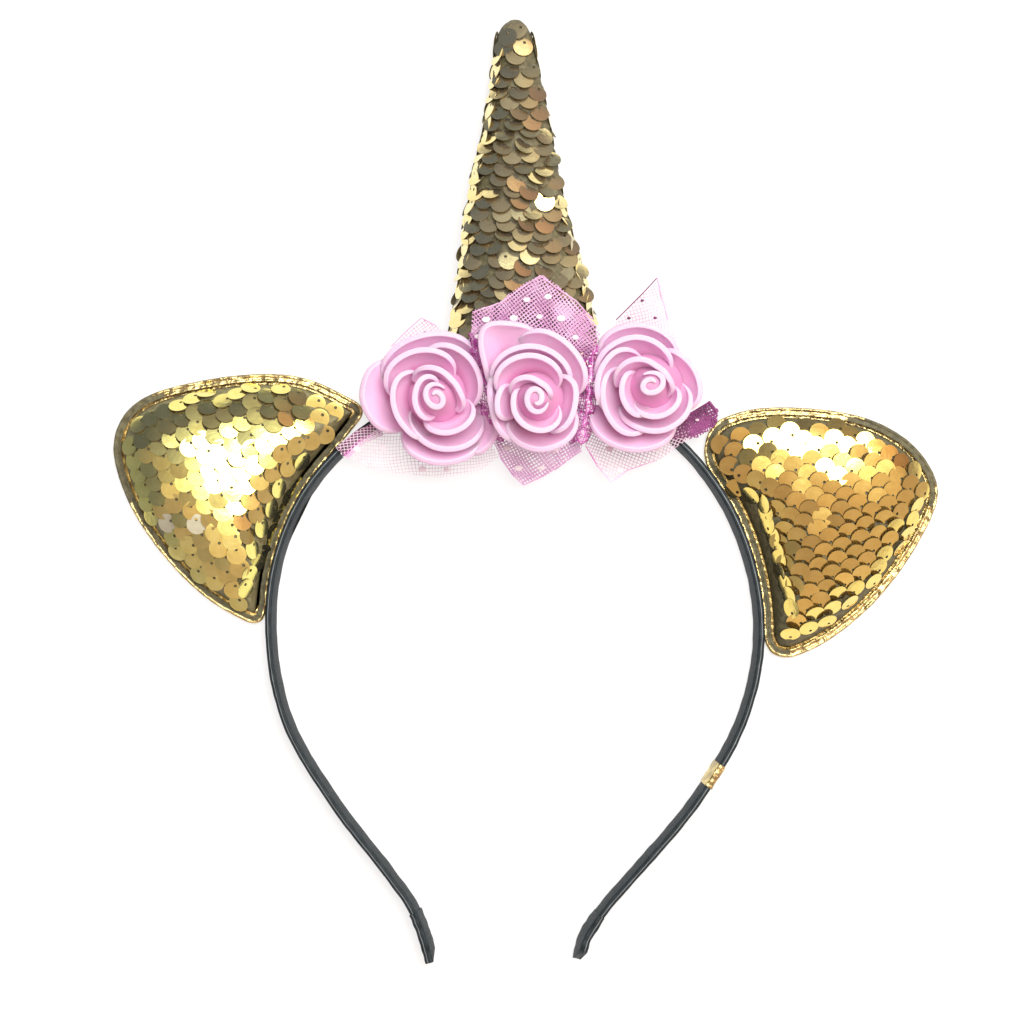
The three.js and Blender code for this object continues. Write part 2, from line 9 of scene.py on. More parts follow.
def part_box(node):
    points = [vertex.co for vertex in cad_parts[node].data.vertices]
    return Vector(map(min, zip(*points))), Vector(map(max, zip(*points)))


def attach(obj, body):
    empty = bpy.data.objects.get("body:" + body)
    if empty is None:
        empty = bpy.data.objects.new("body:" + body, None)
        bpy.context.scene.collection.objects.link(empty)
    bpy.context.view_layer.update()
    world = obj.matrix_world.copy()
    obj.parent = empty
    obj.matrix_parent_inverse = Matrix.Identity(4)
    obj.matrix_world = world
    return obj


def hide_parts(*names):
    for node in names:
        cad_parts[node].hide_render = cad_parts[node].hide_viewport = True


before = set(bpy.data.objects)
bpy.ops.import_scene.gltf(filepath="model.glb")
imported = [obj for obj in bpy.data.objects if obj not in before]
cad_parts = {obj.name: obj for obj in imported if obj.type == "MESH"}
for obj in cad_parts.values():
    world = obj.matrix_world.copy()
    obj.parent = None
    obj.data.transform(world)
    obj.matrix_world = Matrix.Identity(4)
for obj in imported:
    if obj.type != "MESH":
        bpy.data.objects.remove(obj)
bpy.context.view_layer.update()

MM = 0.001
SEED = 20
# Gap between neighbouring pieces, and the least height of any point over the floor
GAP = 0.3
CLEAR = 0.02

# Camera straight above the headband: its place, the width of floor that it sees and the sensor's width
EYE = (-3.625, -5.5, 600.0)
VIEW_WIDTH = 256.0
SENSOR = 36.0

# Lamp over the headband, in metres and watts
KEY = {"place": (0.22, 0.34, 0.86), "size": 0.78, "watts": 9.6, "colour": (1.0, 0.985, 0.96)}
# Light of the room: what faces the lamp, a grey and a brown card beyond the horn, and a warm wall. Each is
# added to or multiplied with those before it, by how far a direction is turned from the side away from it
# (0) to it (1).
ROOM = [
    ("ADD", KEY["place"], [
        (0.0, (0.45, 0.45, 0.45)), (0.5, (0.30, 0.31, 0.33)), (0.62, (0.17, 0.19, 0.22)),
        (0.78, (0.16, 0.17, 0.18)), (0.85, (0.38, 0.31, 0.23)), (0.905, (0.68, 0.61, 0.49)),
        (0.94, (1.1, 1.05, 0.92)), (0.965, (1.8, 1.75, 1.6)),
    ]),
    ("MULTIPLY", (-0.40, 0.78, 0.48), [(0.86, (1.0, 1.0, 1.0)), (0.94, (0.50, 0.53, 0.62))]),
    ("MULTIPLY", (0.74, 0.54, 0.40), [(0.915, (1.0, 1.0, 1.0)), (0.965, (0.98, 0.58, 0.33))]),
    ("ADD", (0.45, -0.75, 0.50), [
        (0.50, (0.0, 0.0, 0.0)), (0.66, (0.14, 0.07, 0.05)), (0.84, (0.33, 0.17, 0.11)),
        (0.95, (0.46, 0.26, 0.17)),
    ]),
]
# Darker and lighter patches of the room
PATCHES = {"scale": 3.0, "detail": 2.0, "low": 0.4, "high": 1.6}

# Floor in metres: half its width, strength of its glow, and glow and colour at distances from its middle
# Painted light: the floor glows though it is no lamp, so that shadows on it stay faint and it lights the
# headband from below
FLOOR = {"half": 4.0, "strength": 0.74}
# Painted shade: away from the middle the floor's glow and colour fall to dark grey, which the sequins reflect
FLOOR_GLOW = [
    (0.0, (1.0, 1.0, 1.0)), (0.185, (1.0, 1.0, 1.0)), (0.23, (0.78, 0.78, 0.775)),
    (0.30, (0.46, 0.46, 0.455)), (0.40, (0.27, 0.27, 0.265)), (0.8, (0.19, 0.19, 0.185)),
]
FLOOR_COLOUR = [(0.0, (0.30, 0.30, 0.30)), (0.8, (0.22, 0.22, 0.22))]

# Band: the strip's section, the lean of its upper edge outward, the height of its middle, and how far its
# own ribbon ends from the tips
BAND = {"width": 5.2, "thickness": 1.7, "corner": 0.62, "flare": math.radians(13), "lift": 2.9, "inset": 3.2}
BAND_ROUTE = [
    (-23.6, -117.2), (-25.2, -111.4), (-28.2, -103.8), (-34.4, -95.0), (-47.8, -77.5),
    (-59.4, -57.5), (-63.5, -37.0), (-61.8, -17.5), (-54.2, 0.0), (-40.0, 14.8), (-22.0, 24.2),
    (-3.0, 27.4), (16.0, 24.2), (34.0, 14.8), (47.4, 0.0), (55.3, -17.5), (57.8, -37.0),
    (53.4, -57.5), (41.8, -77.5), (27.1, -95.0), (19.4, -103.8), (14.5, -111.4), (12.9, -117.2),
]
# Folded ribbon at a tip: its length, how far its end is cut askew, and over what length that fades out
TIP = {"length": 13.0, "slant": 2.1, "shift": 0.6, "fade": 5.0}
FOIL_WRAP = {"x": 46.7, "y": -70.9, "length": 6.4}
# Wraps of the strip: how far they stand out from it, length of a step, and scale, size and seed of their
# crinkles
WRAPS = {
    "ribbon": {"grow": 0.0, "finish": "satin", "slot": "satin_black", "step": 0.6, "wave": (0.34, 0.2, 1)},
    "folded": {"grow": 0.22, "finish": "satin", "slot": "satin_black", "step": 0.4, "wave": (0.5, 0.36, 2)},
    "foil": {"grow": 0.2, "finish": "foil", "slot": "foil_gold", "step": 0.25, "wave": (0.9, 0.22, 3)},
}
# Colours of the satin's weave, and a painted highlight: a paler line along the fold, where the ribbon's edge
# would catch the light, by half the distance round the strip
WEAVE = [(0.3, (0.005, 0.008, 0.0095)), (0.52, (0.013, 0.019, 0.023)), (0.75, (0.055, 0.072, 0.085))]
PAINTED_EDGE_HIGHLIGHT = [
    (0.56, (0.0, 0.0, 0.0)), (0.60, (0.36, 0.39, 0.42)), (0.65, (0.36, 0.39, 0.42)), (0.70, (0.0, 0.0, 0.0)),
]

# Ears: thickness of the back, height of the pad, rounding of the corners, width of the welt, ease of the
# pad inside it, how far the base is tucked behind the band, steepest sequin on the shaded flank, and
# points of the outline
EAR = {
    "back": 1.0, "pad": 10.0, "corner": 4.2, "welt": 2.0, "ease": 0.3, "tuck": 1.25, "lean": 40.0,
    "points": 360,
}
# Pad: height of its rim, how full its dome is and how steep its edge, and rings as shares of the way to
# the rim
PAD_FLOOR = EAR["back"] + GAP
PAD_PROFILE = {"fullness": 2.4, "edge": 0.6}
PAD_RINGS = np.concatenate([[1.0, 0.985, 0.96, 0.92], np.linspace(0.87, 0.03, 22)])
# Profiles of the back panel and the welt: inset from the ear's outline, and height
PANEL = [(0.35, 0.0), (0.0, 0.3), (0.0, 0.8), (0.3, 1.0)]
WELT = [
    (0.05, 0.0), (0.0, 0.3), (0.15, 0.62), (0.45, 0.75), (0.75, 0.62), (0.95, 0.5), (1.3, 0.65),
    (1.7, 0.85), (2.0, 0.8), (2.0, 0.0),
]
# Rows of the welt that are its outer roll and its bare inner part, height up to which it stays flat, and
# its crinkles
WELT_OUTER = slice(0, 4)
WELT_INNER = slice(4, 8)
WELT_FLAT = 0.2
WELT_FOLDS = [(0.6, 0.34, 4), (1.7, 0.34, 5)]
# Free edge of each ear, the ends of its base on the band, and how its sequins lie: direction of the
# rows, which way they overlap (1: lower edges on top), tilt of the overlap and spread of the tilts, sway
# to one side, bare corner by the roses, and row that stands on edge along the band, with its lean.
# Then its finishes, sequins turned to their reverse, and directions in which the edge faces where the
# welt's inner part is foil, where its outer roll is dull, and where the pad is shaded.
EARS = {
    "left": {
        "edge": [
            (-39.2, 20.4), (-57.0, 28.4), (-81.5, 27.2), (-98.2, 21.4), (-103.2, 12.4),
            (-99.6, -2.5), (-90.6, -16.4), (-79.2, -27.6), (-66.6, -34.6),
        ],
        "base": [(-63.5, -32.0), (-46.0, 7.6)], "toward": -1,
        "row_angle": -24.0, "overlap": 1, "tilt": 7.0, "spread": 4.2, "sway": 5.0, "bare": (-47.5, 0.0),
        "flank": [(-57.6, 0.9), (-69.4, -24.0)], "lean": (0.9, -0.42),
        # Painted light: the left ear's gold is a paler copy of the right ear's, and its cloth a lighter copy
        # of the ground
        "gold": "pale_gold_painted_light", "cloth": "ground_painted_light", "reverse": [(-81.5, -8.6), (-89.6, -10.5)],
        "foil": [(62.0, 108.0)], "dull": (112.0, 205.0), "shade": (108.0, 255.0),
    },
    "right": {
        "edge": [
            (45.6, 16.6), (55.0, 20.0), (70.0, 20.4), (86.4, 17.4), (97.6, 10.2), (103.0, -0.4),
            (99.7, -9.6), (93.3, -20.2), (84.9, -30.0), (73.4, -38.8), (63.6, -42.8),
        ],
        "base": [(59.4, -39.0), (44.0, 7.4)], "toward": 1,
        "row_angle": 19.5, "overlap": -1, "tilt": 17.0, "spread": 4.3, "sway": -6.5, "bare": (48.0, 10.5),
        "flank": [(57.9, -3.2), (65.3, -29.0)], "lean": (-0.95, -0.28),
        "gold": "sequin", "cloth": "ground", "reverse": [],
        "foil": [(-85.0, -20.0), (78.0, 110.0)], "dull": (12.0, 72.0), "shade": (5.0, 80.0),
    },
}
# Ears' sequins: rows and columns tried on each side of the middle, share of the pad that they cover, height
# over it, and shift for each degree of spread. Row on the flank: room beside it and past its ends, pitch,
# shift, height, and lean with its spread. Within reach of the roses they keep a share of their lean.
LAID = {"rows": 30, "columns": 20, "cover": 0.955, "proud": 0.55, "jitter": 0.03}
FLANK = {
    "beside": 1.6, "before": 1.5, "after": 2.0, "pitch": 2.8, "jitter": 0.3, "proud": 0.9,
    "steep": (55.0, 4.0),
}
BY_ROSES = {"reach": 6.5, "keep": 0.25, "normal": (0.0, -0.3, 0.9)}

# Sequin: radius, hole and its distance from the middle, height of the cup, thickness, pitch along a row and
# of the rows, corners of its edge, and spread of its turns in radians
SEQUIN = {
    "radius": 2.5, "hole": 0.4, "off": 1.2, "cup": 0.05, "thick": 0.1, "pitch": 4.7, "row": 2.75,
    "sides": 18, "spin": 0.5,
}
# Where sequins are turned to their reverse, those on edge, with a normal lower than `flat`, count as
# farther away
TURNED = {"flat": 0.3, "away": 9.0}
# Rings of a sequin's face: radius, shift toward the sewn edge and height
SEQUIN_FACE = [
    (SEQUIN["hole"], SEQUIN["off"], SEQUIN["cup"]), (1.5, 0.5 * SEQUIN["off"], 0.65 * SEQUIN["cup"]),
    (SEQUIN["radius"], 0.0, 0.0),
]

# Horn: y, middle x, half width, depth and bow of each section
HORN_SECTIONS = [
    (29.6, -2.2, 13.6, 7.0, 1.0), (32.0, -1.4, 17.4, 11.6, 0.7), (35.4, -1.0, 18.4, 14.8, 0.4),
    (39.6, -0.8, 17.9, 16.4, 0.1), (46.0, -0.9, 16.7, 17.0, 0.0), (57.0, -1.6, 14.6, 16.0, 0.0),
    (68.0, -2.5, 12.5, 14.6, 0.0), (82.0, -2.5, 9.8, 12.2, 0.0), (95.5, -2.3, 7.2, 9.8, 0.0),
    (107.0, -2.8, 5.2, 7.8, 0.0), (112.5, -3.0, 4.3, 6.6, 0.0), (115.4, -3.0, 3.0, 5.2, 0.0),
    (116.9, -2.8, 1.4, 3.4, 0.0),
]
# Share of the depth that is cut flat below, radius of the band under the horn's foot, and points along and
# round the horn
HORN = {"flat": 0.08, "band_radius": 60.0, "along": 140, "around": 72}
# Horn's sequins: rows from y to y and their pitch, limits of y, shifts along and round the horn, height
# over the cloth, least height over the floor, tilt and spread, turn to one side, and its change over the
# right flank. `tip` and `foot` change the tilt from y over a length, by a share; over `crown` only the
# middle is covered; `glint` is the one that catches the lamp.
SCALES = {
    "rows": (31.0, 116.4, 2.8), "limits": (30.5, 113.4), "shift": (0.4, 0.05), "proud": 0.5, "least_z": 1.6,
    "tilt": 20.0, "spread": 6.0, "least": -0.9,
    "sway": 9.0, "ease": -31.0, "ease_from": 0.3, "ease_over": 0.5,
    "tip": (106.0, 8.0, 0.9), "foot": (54.0, 10.0, 0.6), "crown": 109.8, "crown_share": 0.5,
    "glint": (3.9, 69.2), "reverse": [(11.6, 58.0)],
}
# Sequins near the contours, within a distance left and right, lie flat below and are left out above
CONTOUR = {"left": 1.4, "right": 1.05, "to": 110.0, "below": -0.2, "above": 0.2, "proud": 0.15}
# Sequins standing on edge along the horn's contours: side, from y to y, lean from upright and spacing;
# then their inset, shift, spread of the lean, turn toward the tip and its spread, and height
HORN_EDGES = [(-1, 32.5, 112.5, 65.0, 3.4), (1, 35.5, 70.0, 70.0, 3.4)]
ON_EDGE = {"inset": 1.0, "shift": 0.3, "spread": 5.0, "turn": 18.0, "turn_spread": 13.0, "proud": 0.4}
# Sequins that lie flat on the sides of the horn's tip
HORN_CAP = {"rows": [109.2, 111.6], "turns": [-0.15, math.pi + 0.15], "proud": 0.2}

# Thickness of the foam
FOAM = 1.4
# Roses: middle of the rolled bud as it appears on the floor's plane, height of the rose's back, and where
# the bud's strip starts, which way it is rolled and where its oval points
ROSES = {
    "rose_left": {"x": -22.6, "y": 23.1, "seat": 7.4, "start": 150.0, "roll": -1, "long": 120.0},
    "rose_middle": {"x": 2.4, "y": 22.9, "seat": 13.4, "start": 240.0, "roll": 1, "long": 95.0},
    "rose_right": {"x": 31.1, "y": 26.4, "seat": 7.4, "start": 20.0, "roll": 1, "long": 20.0},
}
# Petals: growth over the rows below, turn of the ends that is tucked in, how far the ends draw in and
# droop, crease of the rims, how the ends thin out, share of the depth that is built and lowest foot.
# The higher the lip over `upright`, the steeper is the petal, between two limits. Its root's share of the
# lip's distance, its bend and its rise each have a value when flat and a change when steep.
PETAL = {
    "size": 1.03, "tuck": 15.0, "shrink": 2.4, "droop": 5.0, "crease": 0.65, "slim": 5.0, "slimmer": 0.8,
    "depth": 0.8, "foot": 1.0, "upright": (5.2, 8.0), "limits": (0.45, 0.9), "least_root": 1.2,
    "root": (0.42, 0.25), "bend": (0.95, 0.9), "rise": (1.05, 0.1),
}
# Bud: turns of the strip, its first radius and pitch, heights of its foot and top, fall of the top outward,
# radius of the foot over that of the top, and stretch of its oval
BUD = {
    "turns": 1.3, "core": 0.95, "pitch": 1.95, "foot": 6.0, "top": 17.2, "fall": 0.35, "taper": 0.6,
    "oval": 1.12,
}
# Points across and along a petal and the bud's strip
PETAL_GRID = (17, 8)
BUD_GRID = (44, 6)
# Cone that the petals are glued round: radius and height, ring by ring, and corners of a ring
HEART = [(9.0, 1.0), (8.0, 4.0), (6.4, 7.0), (4.6, 10.0), (2.8, 13.0), (1.7, 15.2), (0.7, 15.6)]
HEART_SIDES = 24
# Painted shade of the foam on the cone and the post, as a place between a petal's root (0) and its lip (1)
HEART_PAINTED_SHADE = 0.18
POST_PAINTED_SHADE = 0.35
# Colour of the foam from the petals' roots to their lips
# Painted shade, darker toward the roots and in the creases, and painted highlight, paler at the lips
FOAM_PINK_AND_PAINTED_SHADE = [
    (0.0, (0.57, 0.16, 0.38)), (0.35, (0.785, 0.475, 0.70)), (0.86, (0.80, 0.53, 0.75)),
    (0.91, (0.80, 0.56, 0.77)), (1.0, (0.80, 0.585, 0.785)),
]
# Post under the middle rose: radius and how it narrows, rings, corners of a ring, and crinkles
POST = {"radius": 2.5, "waist": 0.35, "rings": 13, "sides": 40, "wave": (0.5, 0.35, 8)}
# Petals: angle of one end of the lip and of the other, height of the lip over the seat, depth of the
# petal, and the lip's distance from the bud's middle at five even steps from end to end
PETALS = {
    "rose_left": [
        (212, 150, 8.6, 7.0, (14.0, 17.0, 19.0, 18.6, 16.0)),
        (150, 54, 9.4, 8.0, (16.4, 16.4, 16.2, 16.6, 16.2)),
        (236, 312, 8.4, 7.2, (14.0, 15.8, 16.8, 17.2, 16.6)),
        (308, 337, 8.0, 5.0, (16.2, 18.0, 18.2, 17.0, 14.0)),
        (98, -8, 11.6, 8.6, (13.0, 13.9, 13.2, 11.8, 10.4)),
        (168, 62, 11.4, 8.0, (13.2, 14.4, 13.2, 11.6, 9.6)),
        (214, 326, 10.6, 8.0, (8.6, 10.4, 13.0, 14.8, 15.0)),
        (246, 134, 12.6, 8.0, (12.8, 11.2, 11.2, 11.4, 9.2)),
        (250, 342, 13.4, 7.6, (7.8, 8.8, 10.0, 10.8, 10.8)),
        (130, -20, 14.6, 7.0, (10.2, 8.2, 6.4, 6.6, 9.6)),
        (254, 84, 15.8, 7.0, (7.6, 6.2, 5.8, 6.6, 5.2)),
    ],
    "rose_middle": [
        (156, 98, 8.8, 8.0, (12.5, 14.6, 23.0, 19.4, 17.0)),
        (96, 16, 9.2, 8.0, (17.4, 17.4, 15.8, 14.4, 12.4)),
        (216, 336, 9.0, 7.6, (9.2, 12.0, 13.4, 13.4, 11.6)),
        (142, 238, 9.6, 7.0, (14.2, 12.6, 11.6, 12.6, 13.8)),
        (152, 28, 11.8, 8.0, (13.6, 14.2, 13.4, 11.8, 10.4)),
        (40, -60, 12.2, 8.0, (9.0, 10.8, 10.2, 10.6, 10.6)),
        (164, 206, 12.4, 7.0, (9.0, 9.6, 10.2, 10.6, 10.4)),
        (162, 38, 13.4, 7.6, (11.6, 12.2, 11.4, 10.0, 8.6)),
        (148, 328, 14.2, 7.6, (6.6, 6.2, 7.6, 9.0, 8.8)),
        (160, -4, 15.6, 7.0, (9.0, 7.0, 4.6, 4.4, 5.0)),
    ],
    "rose_right": [
        (150, 52, 8.8, 8.0, (15.6, 17.2, 15.6, 13.2, 10.4)),
        (216, 292, 8.6, 7.6, (18.8, 18.6, 17.4, 15.6, 13.4)),
        (64, -30, 9.6, 7.6, (10.4, 10.8, 12.0, 13.2, 12.2)),
        (176, 42, 10.8, 8.0, (14.4, 15.0, 13.0, 9.8, 7.4)),
        (222, 348, 10.8, 8.0, (11.6, 11.6, 12.4, 12.0, 10.6)),
        (202, 122, 12.2, 8.0, (14.4, 14.0, 13.4, 12.4, 9.4)),
        (164, 256, 12.0, 8.0, (11.4, 12.2, 13.4, 14.4, 12.6)),
        (231, 346, 13.4, 7.6, (7.8, 8.2, 8.8, 8.8, 8.0)),
        (150, 254, 14.4, 7.0, (7.0, 7.4, 8.2, 9.0, 9.4)),
        (170, -22, 15.4, 7.0, (11.6, 8.4, 5.2, 5.2, 8.0)),
    ],
}

# Net: cell, width and thickness of a thread, distance of the layers, turn of one layer on the next, over
# and under of the weave, shortest thread, crinkles in height, drift of the threads, and wider threads by
# finish
NET = {
    "cell": 0.78, "thread": 0.15, "thick": 0.21, "layer": 0.5, "turn": 8.0, "weave": 0.05, "shortest": 0.4,
    "crinkle": (0.16, 0.5, 11), "drift": (0.11, 1.1), "drift_seeds": (21, 31),
    "wide": {"net": 1.35, "net_pale": 1.3, "net_plum": 2.3},
}
# Flock dots: radius, share of it in dark dots, pitch, rows to each side and their pitch over that, shift,
# height over the net, narrow way over the wide way, spread of sizes, room on all sides, and rings
DOT = {
    "radius": 0.95, "dark": 0.55, "pitch": 6.2, "rows": 6, "row": 0.8, "shift": 0.6, "lift": 0.25,
    "oval": 0.72, "sizes": (0.8, 1.1),
}
DOT_ROOM = np.array([(1.2, 0.0), (-1.2, 0.0), (0.0, 1.2), (0.0, -1.2)])
DOT_RINGS = [(1.0, 0.0), (1.0, 0.1), (0.6, 0.22)]
# Folds at the edges of the net: width and thickness of the thread, width of a deep one over that, lift,
# and points of a thread. A gathered hem has several, one by one from the edge inward.
FOLD = {"width": 0.26, "thick": 0.2, "deep": 2.0, "lift": 0.1, "points": 12, "pitch": 0.42}
HEM = ["net_deep"] * 2 + ["net_plum"] * 3 + ["net_rich"] * 2 + ["net"] * 2
# Net leaves: outline as it appears on the floor's plane, axis from the tucked end to the free end, heights
# at these ends, direction of the threads, edges drawn as folds or with a hem, finish, number of layers, and
# finish of the dots. `arch` is the rise of a leaf that is bent over the horn.
LEAVES = {
    "net_top_middle": {
        "outline": [
            (-14.1, 38.8), (-13.2, 44.5), (-6.6, 46.8), (3.4, 53.6), (7.4, 50.6), (12.4, 47.3),
            (16.2, 43.0), (18.1, 38.8), (16.5, 33.0), (-11.6, 33.0),
        ],
        "axis": [(2.0, 38.0), (3.4, 53.6)], "low": 17.5, "high": 18.2, "arch": 1.0, "threads": 34.0,
        "folds": {2: "net", 1: "net", 3: "net", 4: "net", 5: "net"},
        "finish": "net", "layers": 2, "dots": "flock",
    },
    "net_top_right": {
        "outline": [
            (32.6, 53.0), (29.3, 49.4), (22.4, 42.5), (18.1, 37.5), (19.6, 30.6), (20.0, 20.4),
            (33.0, 20.4), (36.5, 30.6), (37.0, 37.8), (35.4, 42.5), (34.0, 47.5),
        ],
        "axis": [(27.0, 20.4), (32.6, 53.0)], "low": 6.4, "high": 11.0, "threads": 14.0,
        "folds": {0: "net_plum", 1: "net_plum", 9: "net", 10: "net"},
        "finish": "net_pale", "layers": 1, "dots": "net_deep",
    },
    "net_top_left": {
        "outline": [
            (-26.3, 43.0), (-29.4, 40.3), (-33.8, 35.9), (-37.3, 31.2), (-33.0, 21.6), (-21.0, 21.6),
            (-19.1, 38.8), (-22.6, 41.1),
        ],
        "axis": [(-27.0, 21.6), (-26.3, 43.0)], "low": 6.4, "high": 10.6, "threads": 42.0,
        "folds": {0: "net", 1: "net", 7: "net"},
        "finish": "net_pale", "layers": 1, "dots": "net_deep",
    },
    "net_low_left": {
        "outline": [
            (-47.2, 10.3), (-42.9, 14.4), (-37.2, 17.0), (-30.4, 19.0), (-12.0, 19.0), (-6.6, 7.5),
            (-11.6, 4.7), (-21.6, 3.6), (-31.0, 4.2), (-40.4, 5.8), (-45.7, 7.8),
        ],
        "axis": [(-26.0, 19.0), (-28.0, 3.6)], "low": 6.5, "high": 7.3, "threads": 3.0,
        "folds": {}, "hems": [0, 1],
        "finish": "net_faint", "layers": 1, "dots": "flock",
    },
    "net_low_middle": {
        "outline": [
            (-0.7, 1.2), (-3.5, 3.8), (-6.6, 8.1), (-8.5, 13.8), (-8.0, 22.8), (12.0, 22.8), (13.7, 9.7),
            (9.6, 6.8), (3.4, 3.1),
        ],
        "axis": [(1.0, 22.8), (-0.7, 1.2)], "low": 6.5, "high": 8.4, "threads": 27.0,
        "folds": {0: "net", 1: "net", 8: "net", 7: "net"},
        "finish": "net", "layers": 2, "dots": "flock",
    },
    "net_low_right": {
        "outline": [
            (21.2, 1.9), (17.8, 5.9), (14.9, 10.9), (14.4, 18.6), (36.0, 17.2), (42.1, 13.8), (36.5, 9.7),
            (32.1, 7.3), (25.2, 4.9),
        ],
        "axis": [(24.0, 18.6), (21.2, 1.9)], "low": 6.5, "high": 7.8, "threads": -22.0,
        "folds": {0: "net", 1: "net_rich", 8: "net", 7: "net"},
        "finish": "net_pale", "layers": 1, "dots": "flock",
    },
    "net_right": {
        "outline": [
            (45.8, 22.0), (47.6, 19.7), (47.2, 16.6), (42.1, 13.2), (36.6, 12.6), (36.4, 20.0), (40.9, 19.0),
        ],
        "axis": [(36.0, 17.0), (47.6, 19.0)], "low": 6.6, "high": 8.0, "threads": 20.0,
        "folds": {0: "net_deep", 6: "net_deep"},
        "finish": "net_plum", "layers": 3, "dots": "net_pale",
    },
}
# Leaf that is bent over the horn: half its width where the arch ends, and its drop below the tucked end
ARCH = {"half": 16.0, "drop": 22.0, "power": 1.3}
# Bunched net between the roses: line that it follows from above down, with its height, and its width
TUFTS = {
    "tuft_left": {
        "line": [
            (-13.2, 39.0, 17.0), (-11.4, 31.5, 18.0), (-10.0, 25.0, 18.0), (-8.8, 18.8, 16.5),
            (-7.0, 12.6, 12.0),
        ],
        "width": 6.0,
    },
    "tuft_right": {
        "line": [
            (16.8, 36.0, 16.0), (16.0, 30.0, 18.0), (15.4, 25.5, 18.0), (15.0, 20.0, 16.5),
            (13.2, 12.0, 12.0),
        ],
        "width": 6.4,
    },
}
# Tuft: pitch of its lanes and stops, how its lanes are drawn together, fall to the sides, width of its
# threads, flat width and length over those of the bunch, and share of net in that area
TUFT = {
    "lane": 0.5, "stop": 0.55, "narrow": 0.75, "fall": 1.4, "wide": 1.6, "flat": (2.4, 1.1), "cover": 0.75,
}
# Crumples of a tuft: scale along and across it, and size and shift of their noise in x, y and z
CRUMPLE = {"along": 12.0, "across": 0.55}
CRUMPLES = [(0.7, (0.0, 0.0, 3.0)), (0.9, (5.0, 2.0, 3.0)), (1.6, (0.0, 9.0, 7.0))]
# Dots of a tuft: number, part of its length and width, radii, lift and corners
TUFT_DOT = {
    "count": 36, "along": (0.05, 0.95), "across": 0.8, "radii": (0.22, 0.45), "lift": 0.15, "sides": 8,
}


# Materials

def fill_inputs(tree, node, values):
    """Gives inputs of a node plain values, or links from other nodes' outputs."""
    for key, value in values.items():
        if isinstance(value, bpy.types.NodeSocket):
            tree.links.new(value, node.inputs[key])
        else:
            node.inputs[key].default_value = value


def add_node(tree, kind, inputs=None, **settings):
    node = tree.nodes.new(kind)
    for key, value in settings.items():
        setattr(node, key, value)
    fill_inputs(tree, node, inputs or {})
    return node


def vector_math(tree, operation, first, second):
    node = add_node(tree, "ShaderNodeVectorMath", {0: first, 1: second}, operation=operation)
    return node.outputs["Vector"]


def object_coordinates(tree):
    return add_node(tree, "ShaderNodeTexCoord").outputs["Object"]


def noise_field(tree, scale, detail=3.0, coordinates=None):
    inputs = {"Scale": scale, "Detail": detail, "Vector": coordinates or object_coordinates(tree)}
    return add_node(tree, "ShaderNodeTexNoise", inputs).outputs["Fac"]


def colour_ramp(tree, source, stops):
    ramp = add_node(tree, "ShaderNodeValToRGB", {"Fac": source})
    elements = ramp.color_ramp.elements
    while len(elements) < len(stops):
        elements.new(0.5)
    for element, (position, colour) in zip(elements, stops):
        element.position = position
        element.color = (*colour, 1.0)
    return ramp.outputs["Color"]


def remap(tree, source, low, high):
    inputs = {"Value": source, "To Min": low, "To Max": high}
    return add_node(tree, "ShaderNodeMapRange", inputs).outputs["Result"]


def relief(tree, height, strength, distance):
    inputs = {"Height": height, "Strength": strength, "Distance": distance}
    return add_node(tree, "ShaderNodeBump", inputs).outputs["Normal"]


def new_material(name):
    material = bpy.data.materials.new(name)
    material.use_nodes = True
    return material, material.node_tree, material.node_tree.nodes["Principled BSDF"]


def mottled_material(name, dark, light, grain, bump, roughness, more):
    """Two colours mixed by noise of the scale `grain`, with `bump` (noise scale, strength, distance). A pair
    of roughnesses is mixed by the same noise."""
    material, tree, shader = new_material(name)
    field = noise_field(tree, grain)
    scale, strength, distance = bump
    fill_inputs(tree, shader, {
        "Base Color": colour_ramp(tree, field, [(0.3, dark), (0.7, light)]),
        "Roughness": remap(tree, field, *roughness) if isinstance(roughness, tuple) else roughness,
        "Normal": relief(tree, noise_field(tree, scale), strength, distance),
        **more,
    })
    return material


def metal_material(name, dark, light, roughness, bump, haze=1.6):
    """Metal under a dull clear film, which is hazier the higher its index."""
    film = {"Metallic": 1.0, "Coat Weight": 0.7, "Coat Roughness": 0.6, "Coat IOR": haze}
    return mottled_material(name, dark, light, 420.0, bump, roughness, film)


def cloth_material(name, dark, light):
    return mottled_material(name, dark, light, 900.0, (2100.0, 0.3, 0.0004), 0.6, {})


def net_material(name, deep, pale):
    return mottled_material(name, deep, pale, 160.0, (5200.0, 0.2, 0.0001), 0.6, {})


def foam_material():
    material, tree, shader = new_material("foam_pink")
    # Painted shade and highlight: colour by the place between a petal's root and its lip
    root_to_lip = add_node(tree, "ShaderNodeAttribute", attribute_name="root_to_lip").outputs["Fac"]
    fill_inputs(tree, shader, {
        "Base Color": colour_ramp(tree, root_to_lip, FOAM_PINK_AND_PAINTED_SHADE), "Roughness": 0.72, "Subsurface Weight": 0.4,
        "Subsurface Radius": (1.0, 0.5, 0.8), "Subsurface Scale": 0.0025,
        "Normal": relief(tree, noise_field(tree, 2600.0, 4.0), 0.12, 0.0003),
    })
    return material


